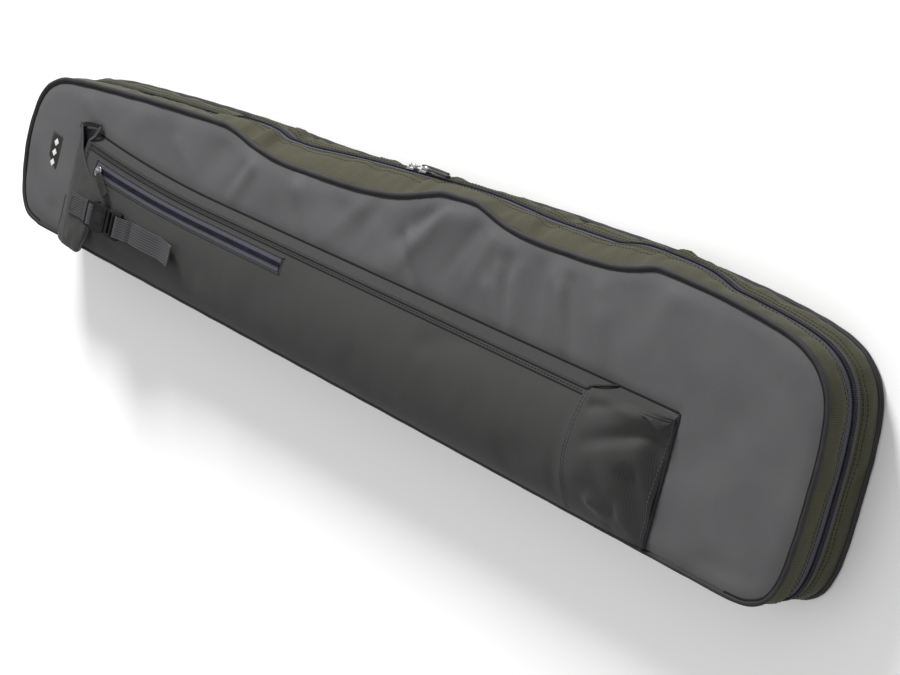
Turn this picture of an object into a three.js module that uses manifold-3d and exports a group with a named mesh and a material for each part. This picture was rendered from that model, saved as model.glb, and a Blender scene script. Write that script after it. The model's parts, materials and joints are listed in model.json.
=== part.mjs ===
// Padded soft rod case for mounted fishing rods, lying on its back and zipped shut.
//
// Every piece is drawn in the case's own plan: x runs along the case from the narrow tip end to
// the wide butt end, y runs across it from the straight spine to the zip side, and z is up from
// the surface it lies on. The whole plan is turned half a turn and centred at the end of the file.
// Lengths are millimetres.
import * as THREE from 'three';
import { mergeVertices } from 'three/addons/utils/BufferGeometryUtils.js';
import Module from 'manifold-3d';

const wasm = await Module();
wasm.setup();

// ---- Driving dimensions ----
const THICKNESS = 80;
const ZIP_LEVEL = 40;
const GAP = 0.3;
const PIPING_RADIUS = 2.5;
const SKIN = 2;
const FOAM = 5.4;
const LINING = 1;
const WALL = 3;
const ZIP_BAND = 16;
const COIL_WIDTH = 3.2;
const SPINE_START = 48;
const SPINE_END = 1040;

// The two soft dips of the front edge, and the lobes where the zip bellies out between its ends.
const FRONT_DIPS = [
  { middle: 450, half: 160, depth: 18 },
  { middle: 762, half: 120, depth: 17 },
];
const ZIP_LOBES = [
  { middle: 303, half: 50, depth: 6 },
  { middle: 545, half: 170, depth: 6.5 },
  { middle: 868, half: 75, depth: 8 },
];

// Long pocket on the front.
const POCKET_START = 118;
const POCKET_CAP = 853;
const POCKET_END = 945;
const POCKET_BASE = THICKNESS + 0.4;
const POCKET_CLOTH = 1.8;
const POCKET_LOW = 3;
const POCKET_BULGE_START = 18;
const POCKET_BULGE_END = 33;
const POCKET_SIDE = 5;
const RIDGE = 0.995;
const GUSSET_FOOT = 1.19;
const POCKET_ZIP = 0.82;
const POCKET_ZIP_START = 141;
const POCKET_ZIP_END = 438;

// Flap, buckle and strap.
const WEBBING = 22;
const BUCKLE_MIDDLE = 48.5;
const BUCKLE_WIDTH = 30;
const BUCKLE_HEIGHT = 7.6;
const BUCKLE_LEVEL = THICKNESS + 22.4;
const SOCKET_START = 151;
const PLUG_BASE_START = 182.5;

// Sliders on the main zip: where each stands along the case.
const TIP_SLIDER = 521;
const BUTT_SLIDER = 538;

// Carry handle on the spine.
const HANDLE_MIDDLE = 700;
const HANDLE_LENGTH = 150;
const HANDLE_PIVOT = 34;

// Plan position of the part's origin, so that it stands at the middle of the box's base.
const ORIGIN_ALONG = 551;
const ORIGIN_ACROSS = 124.64;

const model = new THREE.Group();
const plan = new THREE.Group();
plan.rotation.z = Math.PI;
plan.position.set(ORIGIN_ALONG, ORIGIN_ACROSS, 0);
model.add(plan);

// ---- Materials ----
function finish(color, roughness, metalness = 0) {
  return new THREE.MeshStandardMaterial({ color, roughness, metalness });
}

const finishes = {
  laminate: () => finish(0x6a6a6b, 0.62),
  olive: () => finish(0x5c5c48, 0.85),
  piping: () => finish(0x414142, 0.6),
  spine: () => finish(0x3c3c42, 0.8),
  pocket: () => finish(0x504e4c, 0.88),
  binding: () => finish(0x5b5b5a, 0.85),
  zipTape: () => finish(0x696978, 0.8),
  coil: () => finish(0x23243a, 0.4),
  lining: () => finish(0x26272a, 0.9),
  foam: () => finish(0x8a8a86, 0.95),
  webbing: () => finish(0x55555a, 0.8),
  plastic: () => finish(0x1d1d1f, 0.45),
  rubber: () => finish(0x2b2b28, 0.7),
  metal: () => finish(0xb8b8bc, 0.3, 1),
};

function add(name, geometry, kind, parent = plan) {
  const mesh = new THREE.Mesh(geometry, finishes[kind]());
  mesh.name = name;
  parent.add(mesh);
  return mesh;
}

// ---- Solid helpers ----
function signedVolume(points, index) {
  let total = 0;
  for (let i = 0; i < index.length; i += 3) {
    const [a, b, c] = [points[index[i]], points[index[i + 1]], points[index[i + 2]]];
    total += a.dot(b.clone().cross(c)) / 6;
  }
  return total;
}

// Joins matching sections into one closed skin. Each section runs out along one side of the
// material and back along the other, so its ends are closed with a strip.
function loft(sections, ring = false) {
  const points = sections.flat();
  const sides = sections[0].length;
  const index = [];
  const quad = (a, b, c, d) => index.push(a, b, c, a, c, d);
  const joins = ring ? sections.length : sections.length - 1;
  for (let i = 0; i < joins; i += 1) {
    const here = i * sides;
    const next = ((i + 1) % sections.length) * sides;
    for (let j = 0; j < sides; j += 1) {
      const k = (j + 1) % sides;
      quad(here + j, here + k, next + k, next + j);
    }
  }
  if (!ring) {
    const last = (sections.length - 1) * sides;
    for (let j = 0; j < sides / 2 - 1; j += 1) {
      quad(j, sides - 1 - j, sides - 2 - j, j + 1);
      quad(last + j, last + j + 1, last + sides - 2 - j, last + sides - 1 - j);
    }
  }
  if (signedVolume(points, index) < 0) {
    index.reverse();
  }
  const geometry = new THREE.BufferGeometry().setFromPoints(points);
  geometry.setIndex(index);
  geometry.computeVertexNormals();
  return geometry;
}

function solid(geometry) {
  const bare = geometry.clone();
  bare.deleteAttribute('normal');
  bare.deleteAttribute('uv');
  const merged = mergeVertices(bare);
  const vertProperties = Float32Array.from(merged.attributes.position.array);
  const triVerts = Uint32Array.from(merged.index.array);
  return new wasm.Manifold(new wasm.Mesh({ numProp: 3, vertProperties, triVerts }));
}

function skinOf(manifold) {
  const mesh = manifold.getMesh();
  const geometry = new THREE.BufferGeometry();
  geometry.setAttribute('position', new THREE.BufferAttribute(mesh.vertProperties, 3));
  geometry.setIndex(Array.from(mesh.triVerts));
  geometry.computeVertexNormals();
  return geometry;
}

// A box between two corners.
function block(x0, x1, y0, y1, z0, z1) {
  const geometry = new THREE.BoxGeometry(x1 - x0, y1 - y0, z1 - z0);
  geometry.translate((x0 + x1) / 2, (y0 + y1) / 2, (z0 + z1) / 2);
  return geometry;
}

function shapeOf(points, hole = null) {
  const shape = new THREE.Shape(points.map(([x, y]) => new THREE.Vector2(x, y)));
  if (hole) {
    shape.holes.push(new THREE.Path(hole.map(([x, y]) => new THREE.Vector2(x, y))));
  }
  return shape;
}

function slab(shape, low, high) {
  const geometry = new THREE.ExtrudeGeometry(shape, { depth: high - low, bevelEnabled: false });
  geometry.translate(0, 0, low);
  return geometry;
}

// ---- Outline of the case ----
// From the butt end of the spine, round the butt, along the zip side and round the tip to the
// spine again. dip lowers the zip side by so much at a place along the case.
function outline(dip) {
  const butt = [[1040, 0], [1066, 3], [1086, 15], [1096, 38], [1099.5, 73], [1100, 113], [1099.5, 153]];
  const buttShoulder = [[1095, 190], [1083, 216], [1060, 234]];
  const zipSide = [
    [1025, 243], [965, 247], [905, 247], [860, 245.5], [820, 243.5], [780, 240.5], [740, 237], [700, 234],
    [660, 230], [625, 226], [590, 221.5], [555, 216.5], [520, 212], [480, 207], [440, 202.5], [400, 199],
    [360, 196], [320, 193], [286, 190], [240, 185.5], [170, 177.5], [100, 168], [50, 160],
  ];
  const tip = [[26, 151], [10, 134], [3, 108], [2, 78], [6, 47], [13, 22], [26, 6], [48, 0]];
  const lowered = zipSide.map(([x, y]) => [x, y - dip(x)]);
  const controls = [...butt, ...buttShoulder, ...lowered, ...tip];
  const curve = new THREE.SplineCurve(controls.map(([x, y]) => new THREE.Vector2(x, y)));
  const samples = [];
  const spans = controls.length - 1;
  for (let i = 0; i < spans; i += 1) {
    samples.push(curve.getPoint(i / spans));
    const isCorner = i < 10 || i > spans - 9;
    if (isCorner) {
      samples.push(curve.getPoint((i + 0.5) / spans));
    }
  }
  samples.push(curve.getPoint(1));
  return samples;
}

function swell(lobes, x) {
  let depth = 0;
  for (const lobe of lobes) {
    const from = Math.min(1, Math.abs(x - lobe.middle) / lobe.half);
    depth += lobe.depth * (1 - from ** 4) ** 2;
  }
  return depth;
}

const backEdge = outline(() => 0);
const zipEdge = outline((x) => -swell(ZIP_LOBES, x));
const frontEdge = outline((x) => swell(FRONT_DIPS, x));

// The outline moved inwards by a distance, with its ends kept square to the spine.
function inset(edge, distance) {
  return edge.map((point, i) => {
    const before = edge[Math.max(0, i - 1)];
    const after = edge[Math.min(edge.length - 1, i + 1)];
    const along = after.clone().sub(before).normalize();
    const isEnd = i === 0 || i === edge.length - 1;
    const inward = isEnd ? new THREE.Vector2(0, 1) : new THREE.Vector2(-along.y, along.x);
    return point.clone().addScaledVector(inward, distance);
  });
}

// A flat sheet inside the outline.
function sheet(edge, distance, low, high) {
  return slab(new THREE.Shape(inset(edge, distance)), low, high);
}

// A wall that follows the outline. Its foot and its head may follow different edges.
function wall(footEdge, headEdge, outer, inner, low, high) {
  const footOut = inset(footEdge, outer);
  const footIn = inset(footEdge, inner);
  const headOut = inset(headEdge, outer);
  const headIn = inset(headEdge, inner);
  const at = (p, z) => new THREE.Vector3(p.x, p.y, z);
  const sections = footOut.map((_, i) => [
    at(footOut[i], low), at(headOut[i], high), at(headIn[i], high), at(footIn[i], low),
  ]);
  return loft(sections);
}

// A round cord sewn all the way round the outline.
function piping(edge, level, radius, sides) {
  const sections = edge.map((point, i) => {
    const before = edge[(i + edge.length - 1) % edge.length];
    const after = edge[(i + 1) % edge.length];
    const along = after.clone().sub(before).normalize();
    return Array.from({ length: sides }, (_, k) => {
      const turn = (2 * Math.PI * k) / sides;
      const out = radius * Math.cos(turn);
      return new THREE.Vector3(point.x + along.y * out, point.y - along.x * out, level + radius * Math.sin(turn));
    });
  });
  return loft(sections, true);
}

// ---- Back shell ----
const wallFoot = 2 * PIPING_RADIUS + GAP;
const bandLow = ZIP_LEVEL - ZIP_BAND / 2;
const bandHigh = ZIP_LEVEL + ZIP_BAND / 2;
const panelInset = PIPING_RADIUS + GAP;
const foamInset = WALL + 0.5 + GAP;

function backShell() {
  const foamLow = SKIN + GAP;
  const liningLow = foamLow + FOAM + GAP;
  add('back_panel', sheet(backEdge, panelInset, 0, SKIN), 'laminate');
  add('back_foam', sheet(backEdge, foamInset, foamLow, foamLow + FOAM), 'foam');
  add('back_lining', sheet(backEdge, foamInset, liningLow, liningLow + LINING), 'lining');
  add('back_piping', piping(backEdge, PIPING_RADIUS, PIPING_RADIUS, 6), 'piping');
  add('back_gusset', wall(backEdge, zipEdge, 0.5, WALL + 0.5, wallFoot, bandLow - GAP), 'olive');
  add('back_zip_tape', wall(zipEdge, zipEdge, 0.8, 2, bandLow, ZIP_LEVEL - COIL_WIDTH - GAP - 0.15), 'zipTape');
  add('back_zip_coil', wall(zipEdge, zipEdge, -0.6, 2.2, ZIP_LEVEL - COIL_WIDTH - 0.15, ZIP_LEVEL - 0.15), 'coil');
  const spineTop = THICKNESS - wallFoot;
  add('spine', block(SPINE_START + 0.5, SPINE_END - 0.5, 0.5, WALL + 0.5, wallFoot, spineTop), 'spine');
  rodStraps(liningLow + LINING + GAP);
}

// Flat hook-and-loop straps that hold the rods down inside.
function rodStraps(level) {
  const straps = { rod_strap_tip: [150, 150], rod_strap_middle: [520, 185], rod_strap_butt: [900, 215] };
  for (const [name, [middle, reach]] of Object.entries(straps)) {
    add(name, block(middle - 12.5, middle + 12.5, 30, reach - 20, level, level + 2), 'webbing');
  }
}

// ---- Lid: everything above the zip ----
function lid() {
  const skinLow = THICKNESS - SKIN;
  const foamHigh = skinLow - GAP;
  const liningHigh = foamHigh - FOAM - GAP;
  add('front_panel', sheet(frontEdge, panelInset, skinLow, THICKNESS), 'laminate');
  add('front_foam', sheet(frontEdge, foamInset, foamHigh - FOAM, foamHigh), 'foam');
  add('front_lining', sheet(frontEdge, foamInset, liningHigh - LINING, liningHigh), 'lining');
  add('front_piping', piping(frontEdge, THICKNESS - PIPING_RADIUS, PIPING_RADIUS, 6), 'piping');
  const head = THICKNESS - wallFoot;
  add('front_gusset', wall(zipEdge, frontEdge, 0.5, WALL + 0.5, bandHigh + GAP, head), 'olive');
  add('front_zip_tape', wall(zipEdge, zipEdge, 0.8, 2, ZIP_LEVEL + COIL_WIDTH + GAP + 0.15, bandHigh), 'zipTape');
  add('front_zip_coil', wall(zipEdge, zipEdge, -0.6, 2.2, ZIP_LEVEL + 0.15, ZIP_LEVEL + COIL_WIDTH + 0.15), 'coil');
  const patch = [[42, 60], [62, 59], [63, 102], [43, 103]];
  add('patch', slab(shapeOf(patch), THICKNESS + GAP, THICKNESS + 1.5), 'binding');
}

// ---- Divider: a thin padded leaf between the two compartments ----
const DIVIDER_LEVEL = ZIP_LEVEL - 2;
const DIVIDER_HALF = 2.5;
const DIVIDER_INSET = 12;
const BINDING = 3;

function divider() {
  const low = DIVIDER_LEVEL - DIVIDER_HALF;
  const high = DIVIDER_LEVEL + DIVIDER_HALF;
  add('divider_pad', sheet(backEdge, DIVIDER_INSET + BINDING + GAP, low, high), 'lining');
  const outer = inset(backEdge, DIVIDER_INSET);
  const inner = inset(backEdge, DIVIDER_INSET + BINDING);
  const at = (p, z) => new THREE.Vector3(p.x, p.y, z);
  const sections = outer.map((_, i) => [at(outer[i], low), at(outer[i], high), at(inner[i], high), at(inner[i], low)]);
  add('divider_binding', loft(sections, true), 'binding');
  const tapeStart = SPINE_START + 20;
  const tapeEnd = SPINE_END - 20;
  const fold = block(tapeStart, tapeEnd, WALL + 1, DIVIDER_INSET - GAP, DIVIDER_LEVEL - 0.6, DIVIDER_LEVEL + 0.6);
  add('divider_tape', fold, 'binding');
}

// ---- Long pocket ----
// Height of the pocket's crest above the panel.
function pocketBulge(x) {
  const share = (x - POCKET_START) / (POCKET_CAP - POCKET_START);
  const crest = THREE.MathUtils.lerp(POCKET_BULGE_START, POCKET_BULGE_END, Math.min(1, share));
  const pastCap = THREE.MathUtils.clamp((x - POCKET_CAP) / (POCKET_END - POCKET_CAP), 0, 1);
  return crest * Math.sqrt(1 - pastCap ** 2);
}

// Where the pocket's upper seam runs across the panel. It lifts towards the mouth.
function pocketSeam(x) {
  const mouthLift = 14 * Math.max(0, (313 - x) / 195) ** 2;
  return 112 + 0.0316 * (x - 313) + mouthLift;
}

// A point of the pocket's section: t is 0 at the lower seam, 1 at the ridge, 1.2 at the upper seam.
function pocketProfile(x, t) {
  const ridgeAcross = pocketSeam(x) - POCKET_SIDE;
  const crest = pocketBulge(x);
  const lift = (s) => crest * Math.sin(2.48 * s ** 0.8);
  if (t <= 1) {
    return new THREE.Vector2(THREE.MathUtils.lerp(POCKET_LOW, ridgeAcross, t), lift(t));
  }
  const down = (t - 1) / 0.2;
  return new THREE.Vector2(ridgeAcross + POCKET_SIDE * down, lift(1) * (1 - down));
}

function pocketNormal(x, t) {
  const step = 0.004;
  const before = pocketProfile(x, Math.max(0, t - step));
  const after = pocketProfile(x, t + step);
  const along = after.sub(before);
  if (along.length() < 1e-6) {
    return new THREE.Vector2(0, 1);
  }
  along.normalize();
  return new THREE.Vector2(-along.y, along.x);
}

function pocketPoint(x, t, offset) {
  const point = pocketProfile(x, t).addScaledVector(pocketNormal(x, t), offset);
  return new THREE.Vector3(x, point.x, POCKET_BASE + Math.max(0, point.y));
}

// A sheet that follows the pocket between two places along it and round it, off its cloth.
function pocketSheet(stations, t0, t1, steps, offsetIn, offsetOut) {
  const across = Array.from({ length: steps + 1 }, (_, i) => THREE.MathUtils.lerp(t0, t1, i / steps));
  const sections = stations.map((x) => {
    const low = typeof offsetIn === 'function' ? offsetIn(x) : offsetIn;
    const high = low + (offsetOut - (typeof offsetIn === 'function' ? offsetIn(stations[0]) : offsetIn));
    const outside = across.map((t) => pocketPoint(x, t, high));
    const inside = across.map((t) => pocketPoint(x, t, low));
    return [...outside, ...inside.reverse()];
  });
  return loft(sections);
}

function stations(start, end, steps) {
  return Array.from({ length: steps + 1 }, (_, i) => THREE.MathUtils.lerp(start, end, i / steps));
}

function pocket() {
  const body = stations(POCKET_START, POCKET_CAP - GAP, 12);
  const cap = [0, 0.3, 0.55, 0.75, 0.9, 0.98].map((s) => THREE.MathUtils.lerp(POCKET_CAP, POCKET_END, s));
  const mouth = [POCKET_START - 3.4, POCKET_START - GAP];
  add('pocket_face', pocketSheet(body, 0, RIDGE, 16, 0, POCKET_CLOTH), 'pocket');
  add('pocket_gusset', pocketSheet(body, 1.03, GUSSET_FOOT, 1, -1, POCKET_CLOTH - 1), 'pocket');
  add('pocket_end_cap', pocketSheet(cap, 0, GUSSET_FOOT, 11, 0, POCKET_CLOTH), 'pocket');
  add('pocket_mouth_binding', pocketSheet(mouth, 0, RIDGE, 8, -0.2, 2), 'binding');
  const zip = stations(POCKET_ZIP_START, POCKET_ZIP_END, 4);
  const tapeIn = POCKET_CLOTH + GAP + 0.2;
  add('pocket_zip_tape', pocketSheet(zip, POCKET_ZIP - 0.075, POCKET_ZIP + 0.075, 2, tapeIn, tapeIn + 0.7), 'zipTape');
  const coilIn = tapeIn + 1;
  add('pocket_zip_coil', pocketSheet(zip, POCKET_ZIP - 0.022, POCKET_ZIP + 0.022, 1, coilIn, coilIn + 1.4), 'coil');
}

// ---- Sliders and pullers ----
// In a slider's own frame x is the way it slides, y is out of the zip and z is across it.
const SLIDER_FOOT = 1.2;
const PULLER_BAR = 4.8;
const TAB_START = 5;
const TAB_HALF = 3.2;
const TIP_PULLER = { ringHalf: 3, ringTurn: 0.35, tabTurn: 0, shift: -8.2, lift: 0.9, length: 36 };
const BUTT_PULLER = { ringHalf: 3, ringTurn: -0.2, tabTurn: -0.2, shift: 0, lift: 0, length: 36 };
const POCKET_PULLER = { ringHalf: 4.6, ringTurn: -0.7, tabTurn: -0.7, shift: 0, lift: 0, length: 36 };

function sliderGeometry() {
  const base = solid(block(-4.8, 4.8, SLIDER_FOOT, 3.2, -4.4, 4.4));
  const arch = [[-4.6, 3], [4.6, 3], [4.4, 4.6], [3.2, 7.1], [-3.2, 7.1], [-4.4, 4.6]];
  const eye = [[-2.3, 3.7], [-2.3, 6], [2.3, 6], [2.3, 3.7]];
  const bridge = solid(slab(shapeOf(arch, eye), -1.3, 1.3));
  return skinOf(base.add(bridge));
}

// A ring through the slider's bridge with a soft tab moulded on it. The ring is turned by
// ringTurn about the way out of the zip, and the tab by tabTurn; shift moves the tab across.
function pullerGeometry({ ringHalf, ringTurn, tabTurn, shift, lift, length }) {
  const outer = ringHalf + 1.4;
  const rim = [[-0.7, -outer], [7.4, -outer], [7.4, outer], [-0.7, outer]];
  const hole = [[0.7, -ringHalf], [0.7, ringHalf], [5.6, ringHalf], [5.6, -ringHalf]];
  const ring = slab(shapeOf(rim, hole), -0.7, 0.7);
  ring.rotateX(Math.PI / 2);
  ring.rotateY(ringTurn);
  const tab = block(TAB_START, TAB_START + length, lift - 1.3, lift + 1.3, -TAB_HALF, TAB_HALF);
  tab.rotateY(tabTurn);
  tab.translate(0, 0, shift);
  return skinOf(solid(ring).add(solid(tab)));
}

function placed(position, along, out) {
  const frame = new THREE.Group();
  const across = along.clone().cross(out).normalize();
  frame.setRotationFromMatrix(new THREE.Matrix4().makeBasis(along, out, across));
  frame.position.copy(position);
  plan.add(frame);
  return frame;
}

// Height of the zip line at a place along the zip side.
function zipAcross(x) {
  const i = zipEdge.findIndex((p, k) => p.y > 100 && zipEdge[k + 1] && p.x >= x && zipEdge[k + 1].x < x);
  const [a, b] = [zipEdge[i], zipEdge[i + 1]];
  return THREE.MathUtils.lerp(a.y, b.y, (a.x - x) / (a.x - b.x));
}

function mainSlider(name, x, pull) {
  const here = new THREE.Vector3(x, zipAcross(x), ZIP_LEVEL);
  const ahead = new THREE.Vector3(x + 60, zipAcross(x + 60), ZIP_LEVEL);
  const along = ahead.sub(here).normalize();
  const out = new THREE.Vector3(-along.y, along.x, 0);
  const frame = placed(here, along, out);
  add(`${name}_slider`, sliderGeometry(), 'metal', frame);
  const puller = add(`${name}_puller`, pullerGeometry(pull), 'rubber', frame);
  puller.position.y = PULLER_BAR;
}

function pocketSlider() {
  const coilTop = POCKET_CLOTH + GAP + 2.4;
  const shrink = 0.8;
  const start = 149;
  const from = pocketPoint(start, POCKET_ZIP, coilTop - 0.5);
  const to = pocketPoint(POCKET_ZIP_END - 8, POCKET_ZIP, coilTop - 0.5);
  const along = to.sub(from).normalize();
  const normal = pocketNormal(start, POCKET_ZIP);
  const out = new THREE.Vector3(0, normal.x, normal.y);
  out.addScaledVector(along, -out.dot(along)).normalize();
  const frame = placed(from, along, out);
  frame.scale.setScalar(shrink);
  add('pocket_slider', sliderGeometry(), 'metal', frame);
  const puller = add('pocket_puller', pullerGeometry(POCKET_PULLER), 'rubber', frame);
  puller.position.y = PULLER_BAR;
}

// ---- Flap with its webbing tab, and the side-release buckle ----
function flap() {
  const low = THICKNESS + 21;
  const cut = [
    [92, 4, 122, THICKNESS + 1], [96, 3, 124, THICKNESS + 13], [104, 3, 118, low - 1.5], [114, 2, 103, low],
    [126, 1, 90, low], [140, 1, 76, low], [146, 12, 70, low], [150.5, 28, 63, low],
  ];
  const cloth = 1.5;
  const sections = cut.map(([x, y0, y1, z]) => [
    new THREE.Vector3(x, y0, z), new THREE.Vector3(x, y1, z),
    new THREE.Vector3(x, y1, z + cloth), new THREE.Vector3(x, y0, z + cloth),
  ]);
  add('flap', loft(sections), 'pocket');
  const tabLow = low + cloth + GAP;
  const half = WEBBING / 2;
  add('flap_tab', block(120, 150.5, BUCKLE_MIDDLE - half, BUCKLE_MIDDLE + half, tabLow, tabLow + 1.3), 'webbing');
}

function buckle() {
  const half = BUCKLE_WIDTH / 2;
  const y0 = BUCKLE_MIDDLE - half;
  const y1 = BUCKLE_MIDDLE + half;
  const top = BUCKLE_LEVEL + BUCKLE_HEIGHT;
  const shell = solid(block(SOCKET_START, SOCKET_START + 31, y0, y1, BUCKLE_LEVEL, top));
  const channel = solid(block(SOCKET_START + 6, SOCKET_START + 40, y0 + 3, y1 - 3, BUCKLE_LEVEL - 1, top - 1.8));
  add('buckle_socket', skinOf(shell.subtract(channel)), 'plastic');

  const base = PLUG_BASE_START;
  const frame = solid(block(base, base + 22, y0, y1, BUCKLE_LEVEL, top - 0.6));
  const slots = [4, 13].map((s) => solid(block(base + s, base + s + 4.5, y0 + 3.4, y1 - 3.4, BUCKLE_LEVEL - 1, top)));
  const tongue = solid(block(base - 22, base + 1, BUCKLE_MIDDLE - 2.5, BUCKLE_MIDDLE + 2.5, BUCKLE_LEVEL + 1, top - 2.6));
  const plug = frame.add(tongue).subtract(slots[0]).subtract(slots[1]);
  add('buckle_plug', skinOf(plug), 'plastic');
  const arm = (side) => {
    const near = BUCKLE_MIDDLE + side * 6;
    const far = BUCKLE_MIDDLE + side * 10.5;
    return block(base - 21, base - 0.4, Math.min(near, far), Math.max(near, far), BUCKLE_LEVEL + 1, top - 2.6);
  };
  add('buckle_prong_upper', arm(1), 'plastic');
  add('buckle_prong_lower', arm(-1), 'plastic');
}

// The strap lies back over its own sewn end, and its hemmed tail lifts off the pocket.
function strap() {
  const share = (y, x) => (y - POCKET_LOW) / (pocketSeam(x) - POCKET_SIDE - POCKET_LOW);
  const half = WEBBING / 2;
  const t0 = share(BUCKLE_MIDDLE - half, 230);
  const t1 = share(BUCKLE_MIDDLE + half, 230);
  const sewn = POCKET_CLOTH + GAP + 0.2;
  add('strap_base', pocketSheet([229, 246, 264], t0, t1, 4, sewn, sewn + 1.2), 'webbing');
  const tailStart = PLUG_BASE_START + 22.4;
  const lift = (x) => sewn + 2.2 + 5 * Math.max(0, (x - 250) / 40) ** 2;
  add('strap_tail', pocketSheet([tailStart, 230, 255, 272, 290], t0, t1, 4, lift, lift(tailStart) + 1.2), 'webbing');
}

// ---- Carry handle on the spine ----
function handle() {
  const half = HANDLE_LENGTH / 2;
  const [x0, x1] = [HANDLE_MIDDLE - half, HANDLE_MIDDLE + half];
  const leg = 25;
  const foot = 7;
  const rim = [[x0, foot], [x1, foot], [x1, HANDLE_PIVOT], [x0, HANDLE_PIVOT]];
  const hole = [[x0 + leg, foot + 9], [x0 + leg, HANDLE_PIVOT - 0.01], [x1 - leg, HANDLE_PIVOT - 0.01], [x1 - leg, foot + 9]];
  const open = solid(slab(shapeOf(rim), 0, 2)).subtract(solid(slab(shapeOf(hole), -1, 3)));
  const cut = solid(block(x0 + leg, x1 - leg, HANDLE_PIVOT - 2, HANDLE_PIVOT + 2, -1, 3));
  const strapGeometry = skinOf(open.subtract(cut));
  strapGeometry.rotateX(Math.PI / 2);
  strapGeometry.translate(0, -2.2, 0);
  add('handle_strap', strapGeometry, 'webbing');

  const grip = [[-4.8, 5.6], [-1.3, 5.6], [-1.3, 6.6], [-3.9, 6.6], [-3.9, 16.4], [-1.3, 16.4], [-1.3, 17.4], [-4.8, 17.4]];
  const gripGeometry = new THREE.ExtrudeGeometry(shapeOf(grip), { depth: 88, bevelEnabled: false });
  gripGeometry.applyMatrix4(new THREE.Matrix4().set(0, 0, 1, HANDLE_MIDDLE - 44, 1, 0, 0, -0.6, 0, 1, 0, 0, 0, 0, 0, 1));
  add('handle_grip', gripGeometry, 'rubber');
  for (const [name, start] of [['handle_anchor_tip', x0], ['handle_anchor_butt', x1 - leg]]) {
    add(name, block(start, start + leg, -2.2, 0.2, HANDLE_PIVOT + 0.6, HANDLE_PIVOT + 24), 'webbing');
  }
}

backShell();
lid();
divider();
pocket();
mainSlider('tip', TIP_SLIDER, TIP_PULLER);
mainSlider('butt', BUTT_SLIDER, BUTT_PULLER);
pocketSlider();
flap();
buckle();
strap();
handle();

export default model;
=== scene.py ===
import json
import math

import bmesh
import bpy
import numpy as np
from mathutils import Matrix, Vector, noise
from mathutils.geometry import delaunay_2d_cdt


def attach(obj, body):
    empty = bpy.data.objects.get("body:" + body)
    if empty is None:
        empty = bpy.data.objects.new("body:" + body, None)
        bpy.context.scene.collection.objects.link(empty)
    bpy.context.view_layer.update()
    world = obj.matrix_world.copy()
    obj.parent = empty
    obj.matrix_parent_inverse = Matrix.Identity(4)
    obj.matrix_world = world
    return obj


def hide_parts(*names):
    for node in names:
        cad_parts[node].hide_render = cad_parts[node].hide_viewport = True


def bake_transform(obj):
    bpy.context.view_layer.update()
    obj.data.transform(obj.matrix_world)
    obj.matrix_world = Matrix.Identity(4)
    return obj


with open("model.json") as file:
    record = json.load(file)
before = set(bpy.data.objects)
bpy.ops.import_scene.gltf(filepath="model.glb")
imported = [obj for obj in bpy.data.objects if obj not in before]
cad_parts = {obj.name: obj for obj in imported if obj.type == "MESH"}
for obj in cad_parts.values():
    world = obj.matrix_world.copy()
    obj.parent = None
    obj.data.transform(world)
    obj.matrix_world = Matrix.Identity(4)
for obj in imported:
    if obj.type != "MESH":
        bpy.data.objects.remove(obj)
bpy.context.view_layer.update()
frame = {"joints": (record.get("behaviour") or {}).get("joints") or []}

# The case's own plan, as in the CAD: x runs from the tip end to the butt end, y from the straight
# spine to the zip side, z up. These are millimetres; the scene is in metres.
ALONG, ACROSS = 551.0, 124.64
# Where the front edge dips in and where the zip line bulges out: middle, half width, depth.
DIPS = [(450, 160, 18), (762, 120, 17)]
LOBES = [(303, 50, 6), (545, 170, 6.5), (868, 75, 8)]
POCKET_START, POCKET_CAP, POCKET_END = 118, 853, 945
# The height that the pocket stands on, and the thickness of its cloth.
POCKET_BASE, CLOTH = 80.4, 1.8
# The pocket's zip, between the lower seam at 0 and the ridge at 1.
ZIP_T = 0.82
# The buckle's middle line and its webbing, and the wider webbing of the handle and the rod straps.
BUCKLE_Y, WEBBING, WIDE_WEBBING = 48.5, 22, 25


def P(x, y, z):
    return Vector(((ALONG - x) / 1000, (ACROSS - y) / 1000, z / 1000))


def direction(x, y, z):
    return Vector((-x, -y, z)).normalized()


UP = Vector((0, 0, 1))
BUTTWARD, ZIPWARD, SPINEWARD = direction(1, 0, 0), direction(0, 1, 0), direction(0, -1, 0)
# Puts a moulding that is drawn in plan coordinates into the scene.
FROM_PLAN = Matrix.Translation(P(0, 0, 0)) @ Matrix.Rotation(math.pi, 4, "Z")


def clamp(v, low=0.0, high=1.0):
    return max(low, min(high, v))


def smooth(v):
    v = clamp(v)
    return v * v * (3 - 2 * v)


def lerp(a, b, t):
    return a + (b - a) * t


def swell(lobes, x):
    """The sum of flat-topped bumps, each with a middle, a half width and a depth."""
    return sum(d * (1 - min(1, abs(x - m) / h) ** 4) ** 2 for m, h, d in lobes)


def wobble(x, y, z, seed=0.0):
    return noise.noise(Vector((x, y, z + seed * 17.3)))


# ---------------------------------------------------------------- materials
def new_material(name):
    mat = bpy.data.materials.new(name)
    mat.use_nodes = True
    return mat, mat.node_tree.nodes, mat.node_tree.links


def mapped(nodes, links, scale, rotation=0.0):
    uv = nodes.new("ShaderNodeTexCoord")
    mapping = nodes.new("ShaderNodeMapping")
    mapping.inputs["Scale"].default_value = scale
    mapping.inputs["Rotation"].default_value = (0, 0, rotation)
    links.new(uv.outputs["UV"], mapping.inputs["Vector"])
    return mapping.outputs["Vector"]


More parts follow.
